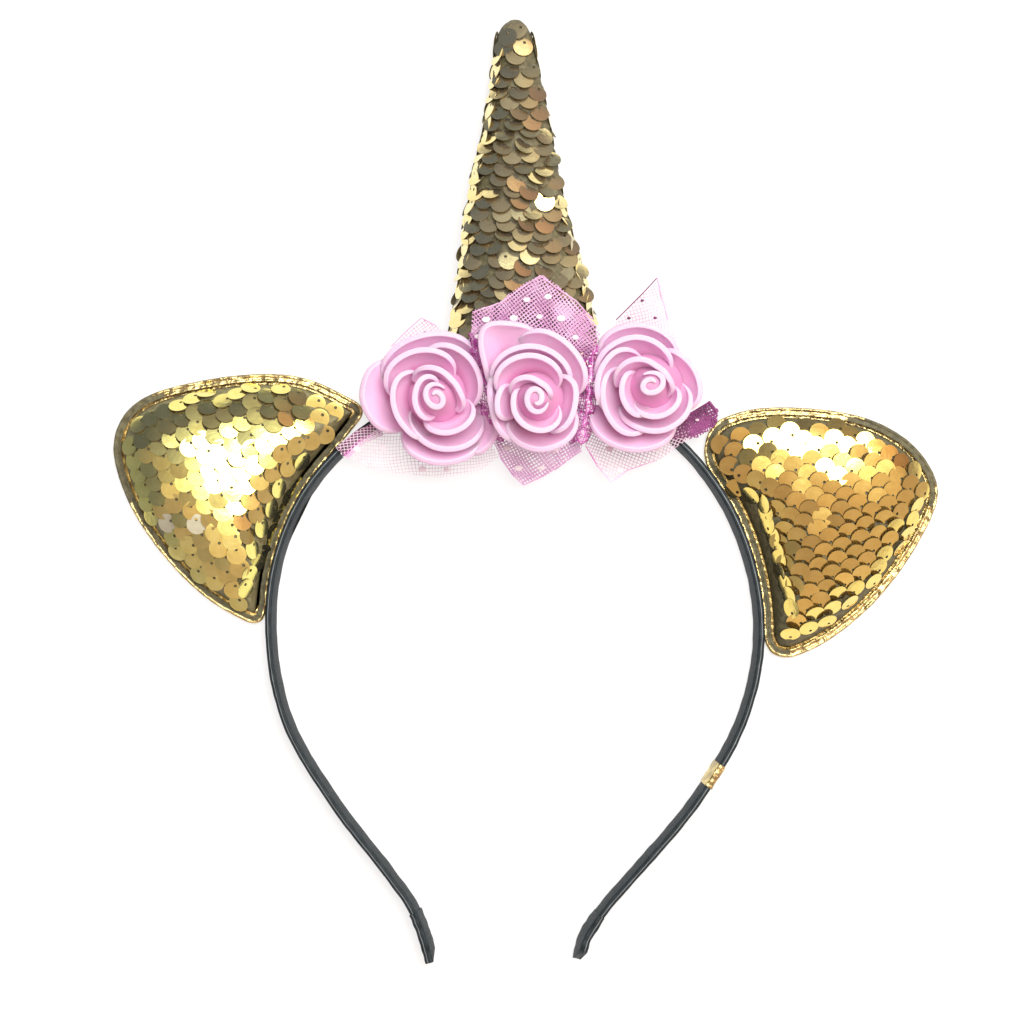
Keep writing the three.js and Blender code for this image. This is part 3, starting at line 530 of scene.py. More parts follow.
def satin_material():
    material, tree, shader = new_material("satin_black")
    lengthwise = add_node(tree, "ShaderNodeUVMap").outputs["UV"]
    stretch = add_node(tree, "ShaderNodeMapping", {"Vector": lengthwise, "Scale": (0.35, 7.0, 1.0)})
    weave = noise_field(tree, 1.0, 5.0, stretch.outputs["Vector"])
    around = add_node(tree, "ShaderNodeSeparateXYZ", {"Vector": lengthwise}).outputs["Y"]
    lie = add_node(tree, "ShaderNodeMath", {0: around, 1: 0.5}, operation="MULTIPLY").outputs["Value"]
    # Painted highlight: a paler line along the fold, broken up by the weave
    painted_highlight = vector_math(tree, "MULTIPLY", colour_ramp(tree, lie, PAINTED_EDGE_HIGHLIGHT), weave)
    fill_inputs(tree, shader, {
        "Base Color": vector_math(tree, "ADD", colour_ramp(tree, weave, WEAVE), painted_highlight), "Roughness": 0.5,
        "Specular IOR Level": 0.32, "Specular Tint": (0.76, 0.92, 1.0, 1.0),
        "Normal": relief(tree, weave, 0.35, 0.0003),
    })
    return material


# Roughness of the sequins, and relief of sequins and of crumpled foil
SHEEN = (0.10, 0.18)
FINE = (966.0, 0.05, 0.0004)
CRUMPLED = (966.0, 0.6, 0.0006)
NETS = {
    "net": net_material("net_pink", (0.61, 0.29, 0.56), (0.83, 0.56, 0.81)),
    "net_pale": net_material("net_pale", (0.64, 0.44, 0.59), (0.83, 0.68, 0.79)),
    "net_faint": net_material("net_faint", (0.74, 0.60, 0.70), (0.89, 0.80, 0.87)),
    "net_rich": net_material("net_rich", (0.46, 0.05, 0.35), (0.72, 0.20, 0.60)),
    "net_plum": net_material("net_plum", (0.09, 0.012, 0.065), (0.32, 0.06, 0.25)),
    "net_deep": net_material("net_deep", (0.10, 0.008, 0.07), (0.26, 0.03, 0.19)),
    "flock": net_material("flock_white", (0.88, 0.78, 0.88), (0.96, 0.92, 0.96)),
}
FINISH = {
    **NETS,
    "sequin": metal_material("sequin_gold", (0.88, 0.65, 0.15), (0.95, 0.75, 0.21), SHEEN, FINE),
    # Painted light: paler and hazier copies of the gold, for the left ear and the horn, where the light falls
    # differently on them
    "pale_gold_painted_light": metal_material("sequin_pale_gold_painted_light", (0.87, 0.75, 0.18), (0.95, 0.86, 0.26), SHEEN, FINE, 1.85),
    "hazy_gold_painted_light": metal_material("sequin_hazy_gold_painted_light", (0.90, 0.74, 0.30), (0.97, 0.83, 0.38), SHEEN, FINE, 2.2),
    "silver": metal_material("sequin_reverse", (0.64, 0.63, 0.46), (0.74, 0.73, 0.56), (0.5, 0.6), FINE),
    # Painted shade: the sequins' edges, undersides and hole walls in a dull dark olive, darkening their
    # outlines and the gaps between them
    "under": cloth_material("sequin_under_painted_shade", (0.15, 0.125, 0.055), (0.23, 0.19, 0.09)),
    "ground": cloth_material("sequin_ground", (0.078, 0.072, 0.036), (0.17, 0.155, 0.08)),
    # Painted light: a lighter copy of the ground cloth, for the left ear's pad
    "ground_painted_light": cloth_material("sequin_ground_painted_light", (0.14, 0.13, 0.062), (0.27, 0.25, 0.125)),
    "foil": metal_material("foil_gold", (0.34, 0.26, 0.10), (0.88, 0.70, 0.30), (0.2, 0.42), CRUMPLED),
    "foam": foam_material(),
    "satin": satin_material(),
}


# Geometry

def unit(vectors):
    return vectors / np.linalg.norm(vectors, axis=-1, keepdims=True)


def even_points(line, count):
    """count points, evenly spaced along an open line of points."""
    steps = np.linalg.norm(np.diff(line, axis=0), axis=1)
    at = np.concatenate([[0], np.cumsum(steps)])
    want = np.linspace(0, at[-1], count)
    return np.stack([np.interp(want, at, line[:, k]) for k in range(line.shape[1])], 1)


def spline(points, count):
    """Evenly spaced points on a centripetal Catmull-Rom curve through the given ones."""
    p = np.array(points, float)
    p = np.vstack([2 * p[0] - p[1], p, 2 * p[-1] - p[-2]])
    t = np.linspace(0, 1, 40)[:, None]
    dense = []
    for p0, p1, p2, p3 in zip(p[:-3], p[1:-2], p[2:-1], p[3:]):
        d0, d1, d2 = (math.sqrt(np.linalg.norm(b - a)) for a, b in ((p0, p1), (p1, p2), (p2, p3)))
        m1 = ((p1 - p0) / d0 - (p2 - p0) / (d0 + d1) + (p2 - p1) / d1) * d1
        m2 = ((p2 - p1) / d1 - (p3 - p1) / (d1 + d2) + (p3 - p2) / d2) * d1
        curve = p1 + m1 * t + (3 * p2 - 3 * p1 - 2 * m1 - m2) * t ** 2 + (2 * p1 - 2 * p2 + m1 + m2) * t ** 3
        dense.append(curve[:-1])
    dense.append(p[-2][None])
    return even_points(np.vstack(dense), count)


def grid_faces(rows, columns, wrap=False, first=0):
    """Quads between neighbouring rows of points, round to the row's start if it wraps."""
    faces = []
    for low in range(first, first + (rows - 1) * columns, columns):
        high = low + columns
        for j in range(columns if wrap else columns - 1):
            k = (j + 1) % columns
            faces.append((low + j, low + k, high + k, high + j))
    return faces


def capped_faces(rows, columns, first=0):
    """Quads of a tube of rings, and a face over each end."""
    start, end = range(first, first + columns), range(first + (rows - 1) * columns, first + rows * columns)
    return grid_faces(rows, columns, True, first) + [tuple(start)[::-1], tuple(end)]


def looped_faces(rows, columns):
    """Quads of a tube of rings whose last ring joins the first."""
    last = (rows - 1) * columns
    joint = [(last + j, last + (j + 1) % columns, (j + 1) % columns, j) for j in range(columns)]
    return grid_faces(rows, columns, True) + joint


def turned_over(faces):
    return [tuple(reversed(face)) for face in faces]


def make_piece(name, points, faces, finishes, nodes=(), smooth=True):
    points = np.array(points, float)
    points[:, 2] = np.maximum(points[:, 2], CLEAR)
    mesh = bpy.data.meshes.new(name)
    mesh.from_pydata((points * MM).tolist(), [], faces)
    mesh.validate()
    if smooth:
        mesh.shade_smooth()
    for finish in finishes:
        mesh.materials.append(FINISH[finish])
    piece = bpy.data.objects.new(name, mesh)
    bpy.context.scene.collection.objects.link(piece)
    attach(piece, "root")
    if nodes:
        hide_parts(*nodes)
    return piece


def set_indices(piece, indices):
    """Finish of each face, as its place in the piece's list."""
    piece.data.polygons.foreach_set("material_index", np.asarray(indices, np.int32).reshape(-1))


# Place between a petal's root (0) and its lip (1), which the foam's colour turns into painted shade and
# highlight
def set_root_to_lip(piece, values):
    layer = piece.data.attributes.new("root_to_lip", "FLOAT", "POINT")
    layer.data.foreach_set("value", np.asarray(values, np.float32))


def crinkle(points, scale, size, seed):
    """Noise of about the given size in millimetres at each point."""
    shift = Vector((seed * 7.3, seed * 3.1, seed * 5.7))
    return np.array([size * noise.noise(Vector(p) * scale + shift) for p in points])


def turn_about(axis, angle, vector):
    """Vectors turned about unit axes by angles in radians."""
    c, s = np.cos(angle)[:, None], np.sin(angle)[:, None]
    along = np.sum(axis * vector, axis=1, keepdims=True)
    return vector * c + np.cross(axis, vector) * s + axis * along * (1 - c)


def at_height(x, y, z):
    """Place at height z that the camera sees over the point x, y of the floor's plane."""
    k = (EYE[2] - z) / EYE[2]
    return np.stack(np.broadcast_arrays(EYE[0] + (x - EYE[0]) * k, EYE[1] + (y - EYE[1]) * k, z), -1)


def seen_from_above(places):
    """Points of the floor's plane that the camera sees the places over."""
    k = EYE[2] / (EYE[2] - places[:, 2:])
    return np.array(EYE[:2]) + (places[:, :2] - np.array(EYE[:2])) * k


def inside_runs(outline, start, direction, reach):
    """Stretches of a line that lie inside an outline, as pairs of distances from its start."""
    cuts = []
    for (ax, ay), (bx, by) in zip(outline, np.roll(outline, -1, axis=0)):
        ex, ey = bx - ax, by - ay
        det = direction[0] * -ey + direction[1] * ex
        if abs(det) < 1e-9:
            continue
        wx, wy = ax - start[0], ay - start[1]
        t = (-ey * wx + ex * wy) / det
        k = (direction[0] * wy - direction[1] * wx) / det
        if 0 <= k < 1 and abs(t) <= reach:
            cuts.append(t)
    cuts.sort()
    return list(zip(cuts[::2], cuts[1::2]))


def is_inside(outline, spot):
    return any(low < 0 < high for low, high in inside_runs(outline, spot, (1.0, 0.0), 1000.0))


# Band

ROUTE = spline(BAND_ROUTE, 1201)
ROUTE_LENGTH = float(np.linalg.norm(np.diff(ROUTE, axis=0), axis=1).sum())


def route_at(distance):
    """Point and outward direction of the band's centreline at distances from its left tip."""
    share = np.clip(np.asarray(distance, float) / ROUTE_LENGTH, 0, 1) * (len(ROUTE) - 1)
    index = np.arange(len(ROUTE))
    tangent = np.gradient(ROUTE, axis=0)
    point = np.stack([np.interp(share, index, ROUTE[:, k]) for k in range(2)], -1)
    t = unit(np.stack([np.interp(share, index, tangent[:, k]) for k in range(2)], -1))
    return point, np.stack([-t[..., 1], t[..., 0]], -1)


def nearest_distance(x, y):
    k = np.argmin(np.hypot(ROUTE[:, 0] - x, ROUTE[:, 1] - y))
    return ROUTE_LENGTH * k / (len(ROUTE) - 1)


def strip_section(grow, corner_steps=4):
    """Rounded section of the strip, as distance outward and height over its middle."""
    half_w = BAND["width"] / 2 + grow
    half_t = BAND["thickness"] / 2 + grow
    r = BAND["corner"]
    section = []
    for cx, cy, start in ((1, 1, 0), (-1, 1, 90), (-1, -1, 180), (1, -1, 270)):
        for k in range(corner_steps + 1):
            a = math.radians(start + 90 * k / corner_steps)
            section.append((cx * (half_t - r) + r * math.cos(a), cy * (half_w - r) + r * math.sin(a)))
    thick, wide = np.array(section).T
    c, s = math.cos(BAND["flare"]), math.sin(BAND["flare"])
    return np.stack([thick * c + wide * s, wide * c - thick * s], 1)


def sleeve(name, node, start, end, wrap, slant=0.0, short=1):
    """Strip of ribbon or foil along the band, closed at both ends. `slant` cuts the end at a tip askew, with
    the upper edge (`short` 1) or the lower edge (`short` -1) the shorter one."""
    count = max(4, int((end - start) / wrap["step"]) + 1)
    section = strip_section(wrap["grow"])
    around = len(section)
    at = np.linspace(start, end, count)
    tip = start if slant > 0 else end
    askew = slant * (short * section[:, 1] / section[:, 1].max() + TIP["shift"])
    rings = []
    for distance in at:
        near = max(0.0, 1 - abs(distance - tip) / TIP["fade"])
        point, out = route_at(distance + askew * near)
        rings.append(np.column_stack([point + out * section[:, :1], section[:, 1] + BAND["lift"]]))
    points = np.vstack(rings)
    centre = np.repeat([ring.mean(axis=0) for ring in rings], around, axis=0)
    points = points + unit(points - centre) * crinkle(points, *wrap["wave"])[:, None]
    faces = turned_over(capped_faces(count, around))
    piece = make_piece(name, points, faces, [wrap["finish"]], [node])
    edge = np.linalg.norm(np.diff(np.vstack([section, section[:1]]), axis=0), axis=1)
    lie = np.concatenate([[0], np.cumsum(edge)[:-1]])
    uv = piece.data.uv_layers.new(name="ribbon")
    for loop in piece.data.loops:
        i, j = divmod(loop.vertex_index, around)
        uv.data[loop.index].uv = (at[i], lie[j])


def build_band():
    end = ROUTE_LENGTH
    sleeve("band_ribbon", "band", BAND["inset"], end - BAND["inset"], WRAPS["ribbon"])
    sleeve("tip_left_ribbon", "tip_left", 0.0, TIP["length"], WRAPS["folded"], TIP["slant"], -1)
    sleeve("tip_right_ribbon", "tip_right", end - TIP["length"], end, WRAPS["folded"], -TIP["slant"], 1)
    middle, half = nearest_distance(FOIL_WRAP["x"], FOIL_WRAP["y"]), FOIL_WRAP["length"] / 2
    sleeve("foil_wrap_sleeve", "foil_wrap", middle - half, middle + half, WRAPS["foil"])


# Sequins

def sequin_piece(name, places, normals, sewn, rng, finish, reverse):
    """One mesh of slightly cupped discs at the given places, each with a hole towards its sewn edge."""
    n, count = SEQUIN["sides"], len(places)
    a = np.linspace(0, 2 * np.pi, n, endpoint=False)
    circle = np.stack([np.cos(a), np.sin(a)], 1)
    rings = SEQUIN_FACE + [(r, off, z - SEQUIN["thick"]) for r, off, z in reversed(SEQUIN_FACE)]
    shape = np.vstack([np.column_stack([circle * r + [0.0, off], np.full(n, z)]) for r, off, z in rings])
    faces = np.array(turned_over(looped_faces(len(rings), n)))
    e2 = unit(np.array(sewn) - normals * (normals @ np.array(sewn))[:, None])
    e1 = np.cross(e2, normals)
    spin = rng.normal(0, SEQUIN["spin"], count)
    basis = np.stack([turn_about(normals, spin, e1), turn_about(normals, spin, e2), normals], 1)
    points = (np.einsum("pk,nkc->npc", shape, basis) + places[:, None]).reshape(-1, 3)
    every = (faces[None] + (np.arange(count) * len(shape))[:, None, None]).reshape(-1, 4).tolist()
    piece = make_piece(name, points, every, [finish, "under", "silver"], smooth=False)
    # Faces of each disc: the top in its finish, the edge, underside and hole wall in a dull dark finish that
    # is painted shade
    index = np.tile(np.repeat([0, 0, 1, 1, 1, 1], n), count).reshape(count, -1)
    for x, y in reverse:
        away = TURNED["away"] * (normals[:, 2] < TURNED["flat"])
        turned = np.argmin(np.hypot(places[:, 0] - x, places[:, 1] - y) + away)
        index[turned] = np.where(index[turned] == 0, 2, 1)
    set_indices(piece, index)


# Ears

def ear_loop(ear, count, fine=600):
    """Outline of an ear, counter-clockwise, with its base along the band and its corners rounded."""
    low, high = (nearest_distance(*p) for p in ear["base"])
    point, out = route_at(np.linspace(low, high, 11))
    corners = np.vstack([spline(ear["edge"], 61), point + out * EAR["tuck"]])
    closed = np.vstack([corners, corners[:1]])
    line = even_points(closed, fine + 1)[:-1]
    length = np.linalg.norm(np.diff(closed, axis=0), axis=1).sum()
    reach = round(EAR["corner"] * fine / length)
    soft = sum(np.roll(line, k, axis=0) for k in range(-reach, reach + 1)) / (2 * reach + 1)
    area = np.sum(soft[:, 0] * np.roll(soft[:, 1], -1) - np.roll(soft[:, 0], -1) * soft[:, 1])
    soft = soft if area > 0 else soft[::-1]
    return even_points(np.vstack([soft, soft[:1]]), count + 1)[:-1]


def inset_loop(loop, inset):
    t = unit(np.roll(loop, -1, axis=0) - np.roll(loop, 1, axis=0))
    return loop + inset * np.stack([-t[:, 1], t[:, 0]], 1)


def profile_rings(loop, profile, base=0.0):
    """Rings round an ear that follow a profile of insets and heights over the base."""
    count = len(loop)
    return np.vstack([np.column_stack([inset_loop(loop, i), np.full(count, base + up)]) for i, up in profile])


class Pad:
    """Domed surface inside an ear's welt, as a height over the plan."""

    def __init__(self, loop):
        self.rim = inset_loop(loop, EAR["welt"] + GAP + EAR["ease"])
        self.middle = self.rim.mean(axis=0)
        arm = self.rim - self.middle
        angle = np.arctan2(arm[:, 1], arm[:, 0])
        order = np.argsort(angle)
        self.angle = np.concatenate([angle[order] - 2 * np.pi, angle[order], angle[order] + 2 * np.pi])
        self.reach = np.tile(np.hypot(*arm.T)[order], 3)

    def share(self, x, y):
        dx, dy = x - self.middle[0], y - self.middle[1]
        return np.hypot(dx, dy) / np.interp(np.arctan2(dy, dx), self.angle, self.reach)

    def height(self, x, y):
        s = np.clip(self.share(x, y), 0, 1)
        return PAD_FLOOR + EAR["pad"] * (1 - s ** PAD_PROFILE["fullness"]) ** PAD_PROFILE["edge"]

    def normal(self, x, y, step=1.2):
        gx = (self.height(x + step, y) - self.height(x - step, y)) / (2 * step)
        gy = (self.height(x, y + step) - self.height(x, y - step)) / (2 * step)
        return unit(np.stack([-gx, -gy, np.ones_like(gx)], -1))


def ear_places(ear, pad, along, up, rng):
    """Places in the plan of an ear's sequins: even rows inside its bounds, clear of the flank's row."""
    i, j = np.mgrid[-LAID["rows"]:LAID["rows"] + 1, -LAID["columns"]:LAID["columns"] + 1].reshape(2, -1)
    places = pad.middle + np.outer(j + 0.5 * (i % 2), along * SEQUIN["pitch"])
    places += np.outer(i, up * SEQUIN["row"])
    places += rng.normal(0, LAID["jitter"] * ear["spread"], places.shape)
    x, y = places.T
    inside = pad.share(x, y) < LAID["cover"]
    inside &= (ear["toward"] * (x - ear["bare"][0]) > 0) | (y < ear["bare"][1])
    a, b = np.array(ear["flank"])
    edge = unit(b - a)
    off = places - a
    reach = off @ edge
    beside = (reach > -FLANK["before"]) & (reach < np.hypot(*(b - a)) + FLANK["after"])
    clear = ear["toward"] * (edge[0] * off[:, 1] - edge[1] * off[:, 0]) > FLANK["beside"]
    return places[inside & (~beside | clear)]


def lay_ear_sequins(side, ear, pad, rng):
    angle = math.radians(ear["row_angle"])
    along = np.array([math.cos(angle), math.sin(angle)])
    up = np.array([-along[1], along[0]])
    x, y = ear_places(ear, pad, along, up, rng).T
    slope = pad.normal(x, y)
    axis = np.tile([along[0], along[1], 0.0], (len(x), 1))
    axis = unit(axis - slope * np.sum(axis * slope, axis=1, keepdims=True))
    tilt = -np.radians(ear["overlap"] * ear["tilt"] + rng.normal(0, ear["spread"], len(x)))
    normals = turn_about(axis, tilt, slope)
    sideways = np.radians(rng.normal(0, ear["spread"], len(x)))
    normals = turn_about(np.cross(normals, axis), sideways, normals)
    normals[:, 0] += math.tan(math.radians(ear["sway"]))
    by_roses = ear["toward"] * (x - ear["bare"][0]) < BY_ROSES["reach"]
    normals[by_roses] = BY_ROSES["keep"] * normals[by_roses] + BY_ROSES["normal"]
    normals = unit(normals)
    facing = np.degrees(np.arctan2(slope[:, 1], slope[:, 0])) % 360
    low, high = ear["shade"]
    flat = np.hypot(normals[:, 0], normals[:, 1])
    most = normals[:, 2] * math.tan(math.radians(EAR["lean"]))
    short = np.where((facing > low) & (facing < high), np.minimum(1, most / np.maximum(flat, 1e-6)), 1.0)
    normals[:, :2] *= short[:, None]
    normals = unit(normals)
    base = np.column_stack([x, y, pad.height(x, y)]) + slope * LAID["proud"]
    a, b = np.array(ear["flank"])
    number = round(np.hypot(*(b - a)) / FLANK["pitch"])
    row = a + np.linspace(0, 1, number)[:, None] * (b - a) + rng.normal(0, FLANK["jitter"], (number, 2))
    steep = np.radians(rng.normal(*FLANK["steep"], number))
    lean = unit(np.column_stack([np.outer(np.sin(steep), ear["lean"]), np.cos(steep)]))
    shelf = np.column_stack([row, pad.height(row[:, 0], row[:, 1]) + FLANK["proud"]])
    places, normals = np.vstack([base, shelf]), np.vstack([normals, lean])
    sewn = (*(ear["overlap"] * up), 0.0)
    sequin_piece(f"sequins_{side}", places, normals, sewn, rng, ear["gold"], ear["reverse"])


def build_welt(side, ear, loop):
    count = len(loop)
    points = profile_rings(loop, WELT, PAD_FLOOR - GAP)
    lifted = np.repeat([up for _, up in WELT], count) > WELT_FLAT
    points[:, 2] += np.where(lifted, sum(crinkle(points, *fold) for fold in WELT_FOLDS), 0.0)
    faces = looped_faces(len(WELT), count)
    welt = make_piece(f"ear_{side}_welt", points, faces, ["foil", "ground"], [f"ear_{side}_rim"])
    t = np.roll(loop, -1, axis=0) - np.roll(loop, 1, axis=0)
    facing = np.degrees(np.arctan2(-t[:, 0], t[:, 1]))
    index = np.zeros((len(WELT), count))
    index[WELT_INNER] = np.all([(facing < low) | (facing > high) for low, high in ear["foil"]], axis=0)
    index[WELT_OUTER] = (facing % 360 > ear["dull"][0]) & (facing % 360 < ear["dull"][1])
    set_indices(welt, index)


def build_ear(side, ear, rng):
    loop = ear_loop(ear, EAR["points"])
    count = len(loop)
    points, faces = profile_rings(loop, PANEL), capped_faces(len(PANEL), count)
    make_piece(f"ear_{side}_panel", points, faces, ["foil"], [f"ear_{side}_back"])
    build_welt(side, ear, loop)

    pad = Pad(loop)
    plan = np.vstack([pad.middle + (pad.rim - pad.middle) * share for share in PAD_RINGS])
    points = np.column_stack([plan, pad.height(plan[:, 0], plan[:, 1])])
    points[:count, 2] = PAD_FLOOR
    faces = capped_faces(len(PAD_RINGS), count)
    front = make_piece(f"ear_{side}_pad", points, faces, [ear["cloth"]], [f"ear_{side}_front"])
    lay_ear_sequins(side, ear, pad, rng)


# Horn

HORN_TABLE = spline(HORN_SECTIONS, 600)


def horn_section(y):
    """Middle x, half width, depth and bow of the horn at y."""
    return [np.interp(y, HORN_TABLE[:, 0], HORN_TABLE[:, k]) for k in range(1, 5)]


def horn_surface(y, angle):
    middle, half, depth, bow = horn_section(y)
    x = half * np.cos(angle)
    z = depth * ((1 + HORN["flat"]) * (0.5 + 0.5 * np.sin(angle)) - HORN["flat"])
    return np.stack([middle + x, y - bow * x ** 2 / (2 * HORN["band_radius"]), np.maximum(0.0, z)], -1)


def horn_normal(y, angle, step=0.6, turn=0.02):
    dy = horn_surface(y + step, angle) - horn_surface(y - step, angle)
    da = horn_surface(y, angle + turn) - horn_surface(y, angle - turn)
    n = unit(np.cross(da, dy))
    outward = np.stack([np.cos(angle), np.zeros_like(angle), np.sin(angle)], -1)
    return n * np.sign(np.sum(n * outward, axis=-1, keepdims=True))


def horn_scales(rng):
    """Overlapping rows of sequins round the horn."""
    ys, turns = [], []
    dense = np.linspace(0, 2 * np.pi, 361)
    for i, y in enumerate(np.arange(*SCALES["rows"])):
        ring = horn_surface(np.full(len(dense), y), dense)
        at = np.concatenate([[0], np.cumsum(np.linalg.norm(np.diff(ring, axis=0), axis=1))])
        number = max(4, round(at[-1] / SEQUIN["pitch"]))
        for j in range(number):
            turns.append(np.interp((j + 0.5 * (i % 2)) * at[-1] / number, at, dense))
            ys.append(y)
    ys = np.clip(np.array(ys) + rng.normal(0, SCALES["shift"][0], len(ys)), *SCALES["limits"])
    turns = np.array(turns) + rng.normal(0, SCALES["shift"][1], len(turns))
    across, rise = np.cos(turns), np.sin(turns)
    places = horn_surface(ys, turns)
    near = np.where(across > 0, CONTOUR["right"], CONTOUR["left"])
    contour = (rise > CONTOUR["below"]) & (ys < CONTOUR["to"])
    contour &= horn_section(ys)[1] * (1 - np.abs(across)) < near
    keep = (places[:, 2] > SCALES["least_z"]) & ~(contour & (rise > CONTOUR["above"]))
    ys, turns, places, across, contour = ys[keep], turns[keep], places[keep], across[keep], contour[keep]
    normals = horn_normal(ys, turns)
    places = places + normals * np.where(contour, CONTOUR["proud"], SCALES["proud"])[:, None]
    axis = unit(np.cross(np.tile([0.0, 1.0, 0.0], (len(ys), 1)), normals))
    tip, tip_length, tip_share = SCALES["tip"]
    foot, foot_length, foot_share = SCALES["foot"]
    tipward = np.clip((ys - tip) / tip_length, 0, 1)
    footward = np.clip((foot - ys) / foot_length, 0, 1)
    level = SCALES["tilt"] * (1 - tip_share * tipward + foot_share * footward)
    tilt = -np.radians(level + np.maximum(SCALES["least"], rng.normal(0, 1, len(ys))) * SCALES["spread"])
    normals = turn_about(axis, np.where(contour, 0.0, tilt), normals)
    flank = np.clip((across - SCALES["ease_from"]) / SCALES["ease_over"], 0, 1)
    eased = SCALES["sway"] * (1 - 2 * tipward) + SCALES["ease"] * flank
    sideways = np.radians(eased + rng.normal(0, SCALES["spread"], len(ys)))
    normals = turn_about(np.cross(normals, axis), np.where(contour, 0.0, sideways), normals)
    x, y = SCALES["glint"]
    glint = np.argmin(np.hypot(places[:, 0] - x, places[:, 1] - y) - places[:, 2])
    normals[glint] = (Vector(KEY["place"]).normalized() + Vector((0.0, 0.0, 1.0))).normalized()
    return places, normals


def horn_edge(side, low, high, lean, spacing, rng):
    """Sequins that stand on edge along one contour of the horn."""
    y = np.arange(low, high, spacing)
    y = y + rng.normal(0, ON_EDGE["shift"], len(y))
    edge = horn_surface(y, np.arccos(side * (1 - ON_EDGE["inset"] / horn_section(y)[1])))
    steep = np.radians(lean + rng.normal(0, ON_EDGE["spread"], len(y)))
    turn = np.radians(ON_EDGE["turn"] + rng.normal(0, ON_EDGE["turn_spread"], len(y)))
    out = np.column_stack([side * np.sin(steep) * np.cos(turn), np.sin(steep) * np.sin(turn), np.cos(steep)])
    return edge + ON_EDGE["proud"] * out, out


def build_horn(rng):
    stations = even_points(HORN_TABLE[:, [0, 2]], HORN["along"])[:, 0]
    angles = np.linspace(0, 2 * np.pi, HORN["around"], endpoint=False)
    points = np.vstack([horn_surface(np.full(len(angles), y), angles) for y in stations])
    faces = turned_over(capped_faces(len(stations), len(angles)))
    body = make_piece("horn_cloth", points, faces, ["ground"], ["horn"])

    laid = [horn_scales(rng)] + [horn_edge(*row, rng) for row in HORN_EDGES]
    places, normals = (np.vstack(part) for part in zip(*laid))
    middle, half = horn_section(places[:, 1])[:2]
    over_middle = np.abs(places[:, 0] - middle) < SCALES["crown_share"] * half
    keep = (places[:, 1] < SCALES["crown"]) | over_middle
    laid = [(places[keep], normals[keep])]
    y = np.array(HORN_CAP["rows"])
    for turn in HORN_CAP["turns"]:
        out = horn_normal(y, np.full(len(y), turn))
        laid.append((horn_surface(y, np.full(len(y), turn)) + HORN_CAP["proud"] * out, out))
    places, normals = (np.vstack(part) for part in zip(*laid))
    leaf = np.array(LEAVES["net_top_middle"]["outline"])
    shown = np.array([not is_inside(leaf, p) for p in seen_from_above(places)])
    sewn = (0.0, 1.0, 0.0)
    # The horn's sequins are in a hazier copy of the gold, painted light
    sequin_piece("sequins_horn", places[shown], normals[shown], sewn, rng, "hazy_gold_painted_light", SCALES["reverse"])


# Roses

def rose_points(rose, x, y, height):
    """Points at places from a rose's middle and heights over its seat."""
    return at_height(rose["x"] + x, rose["y"] + y, rose["seat"] + height).reshape(-1, 3)


def petal_sheet(rose, start, end, lip, depth, radii):
    """Petal as a bent sheet: its root near the bud, its lip along the row's distances, ends tucked in."""
    u = np.linspace(0, 1, PETAL_GRID[0])[:, None]
    v = np.linspace(0, 1, PETAL_GRID[1])[None, :]
    reach = np.interp(u, np.linspace(0, 1, len(radii)), radii)
    reach[1:-1] = 0.25 * reach[:-2] + 0.5 * reach[1:-1] + 0.25 * reach[2:]
    tuck = PETAL["tuck"] * np.sign(end - start)
    angle = np.radians(start - tuck + (end - start + 2 * tuck) * u)
    side = np.abs(2 * u - 1)
    reach = PETAL["size"] * reach - FOAM / 2 - PETAL["shrink"] * side ** 6
    flat_lip, over = PETAL["upright"]
    steep = np.clip((lip - flat_lip) / over, *PETAL["limits"])
    share, bend, rise = (PETAL[key][0] + PETAL[key][1] * steep for key in ("root", "bend", "rise"))
    root = np.maximum(PETAL["least_root"], share * reach)
    top = lip - PETAL["droop"] * side ** 4
    floor = np.maximum(PETAL["foot"], lip - PETAL["depth"] * depth)
    radius = root + (reach - root) * (1 - (1 - v) ** bend)
    height = floor + (top - floor) * v ** rise
    return rose_points(rose, radius * np.cos(angle), radius * np.sin(angle), height)


def bud_sheet(rose):
    """Rolled strip of foam in the middle of a rose, drawn out to an oval."""
    u = np.linspace(0, 1, BUD_GRID[0])[:, None]
    v = np.linspace(0, 1, BUD_GRID[1])[None, :]
    turn = 2 * np.pi * BUD["turns"] * u
    radius = (BUD["core"] + BUD["pitch"] * turn / (2 * np.pi)) * (BUD["taper"] + (1 - BUD["taper"]) * v)
    height = BUD["foot"] + (BUD["top"] - BUD["fall"] * radius - BUD["foot"]) * v
    angle = rose["roll"] * turn + math.radians(rose["start"])
    stretch = math.radians(rose["long"])
    along_x = radius * np.cos(angle - stretch) * BUD["oval"]
    along_y = radius * np.sin(angle - stretch) / BUD["oval"]
    x = along_x * math.cos(stretch) - along_y * math.sin(stretch)
    y = along_x * math.sin(stretch) + along_y * math.cos(stretch)
    return rose_points(rose, x, y, height)


def heart_sheet(rose):
    """Cone of foam that the petals are glued round, ring by ring."""
    angle = np.linspace(0, 2 * np.pi, HEART_SIDES, endpoint=False)
    radius, height = np.array(HEART).T[:, :, None]
    return rose_points(rose, radius * np.cos(angle), radius * np.sin(angle), height)


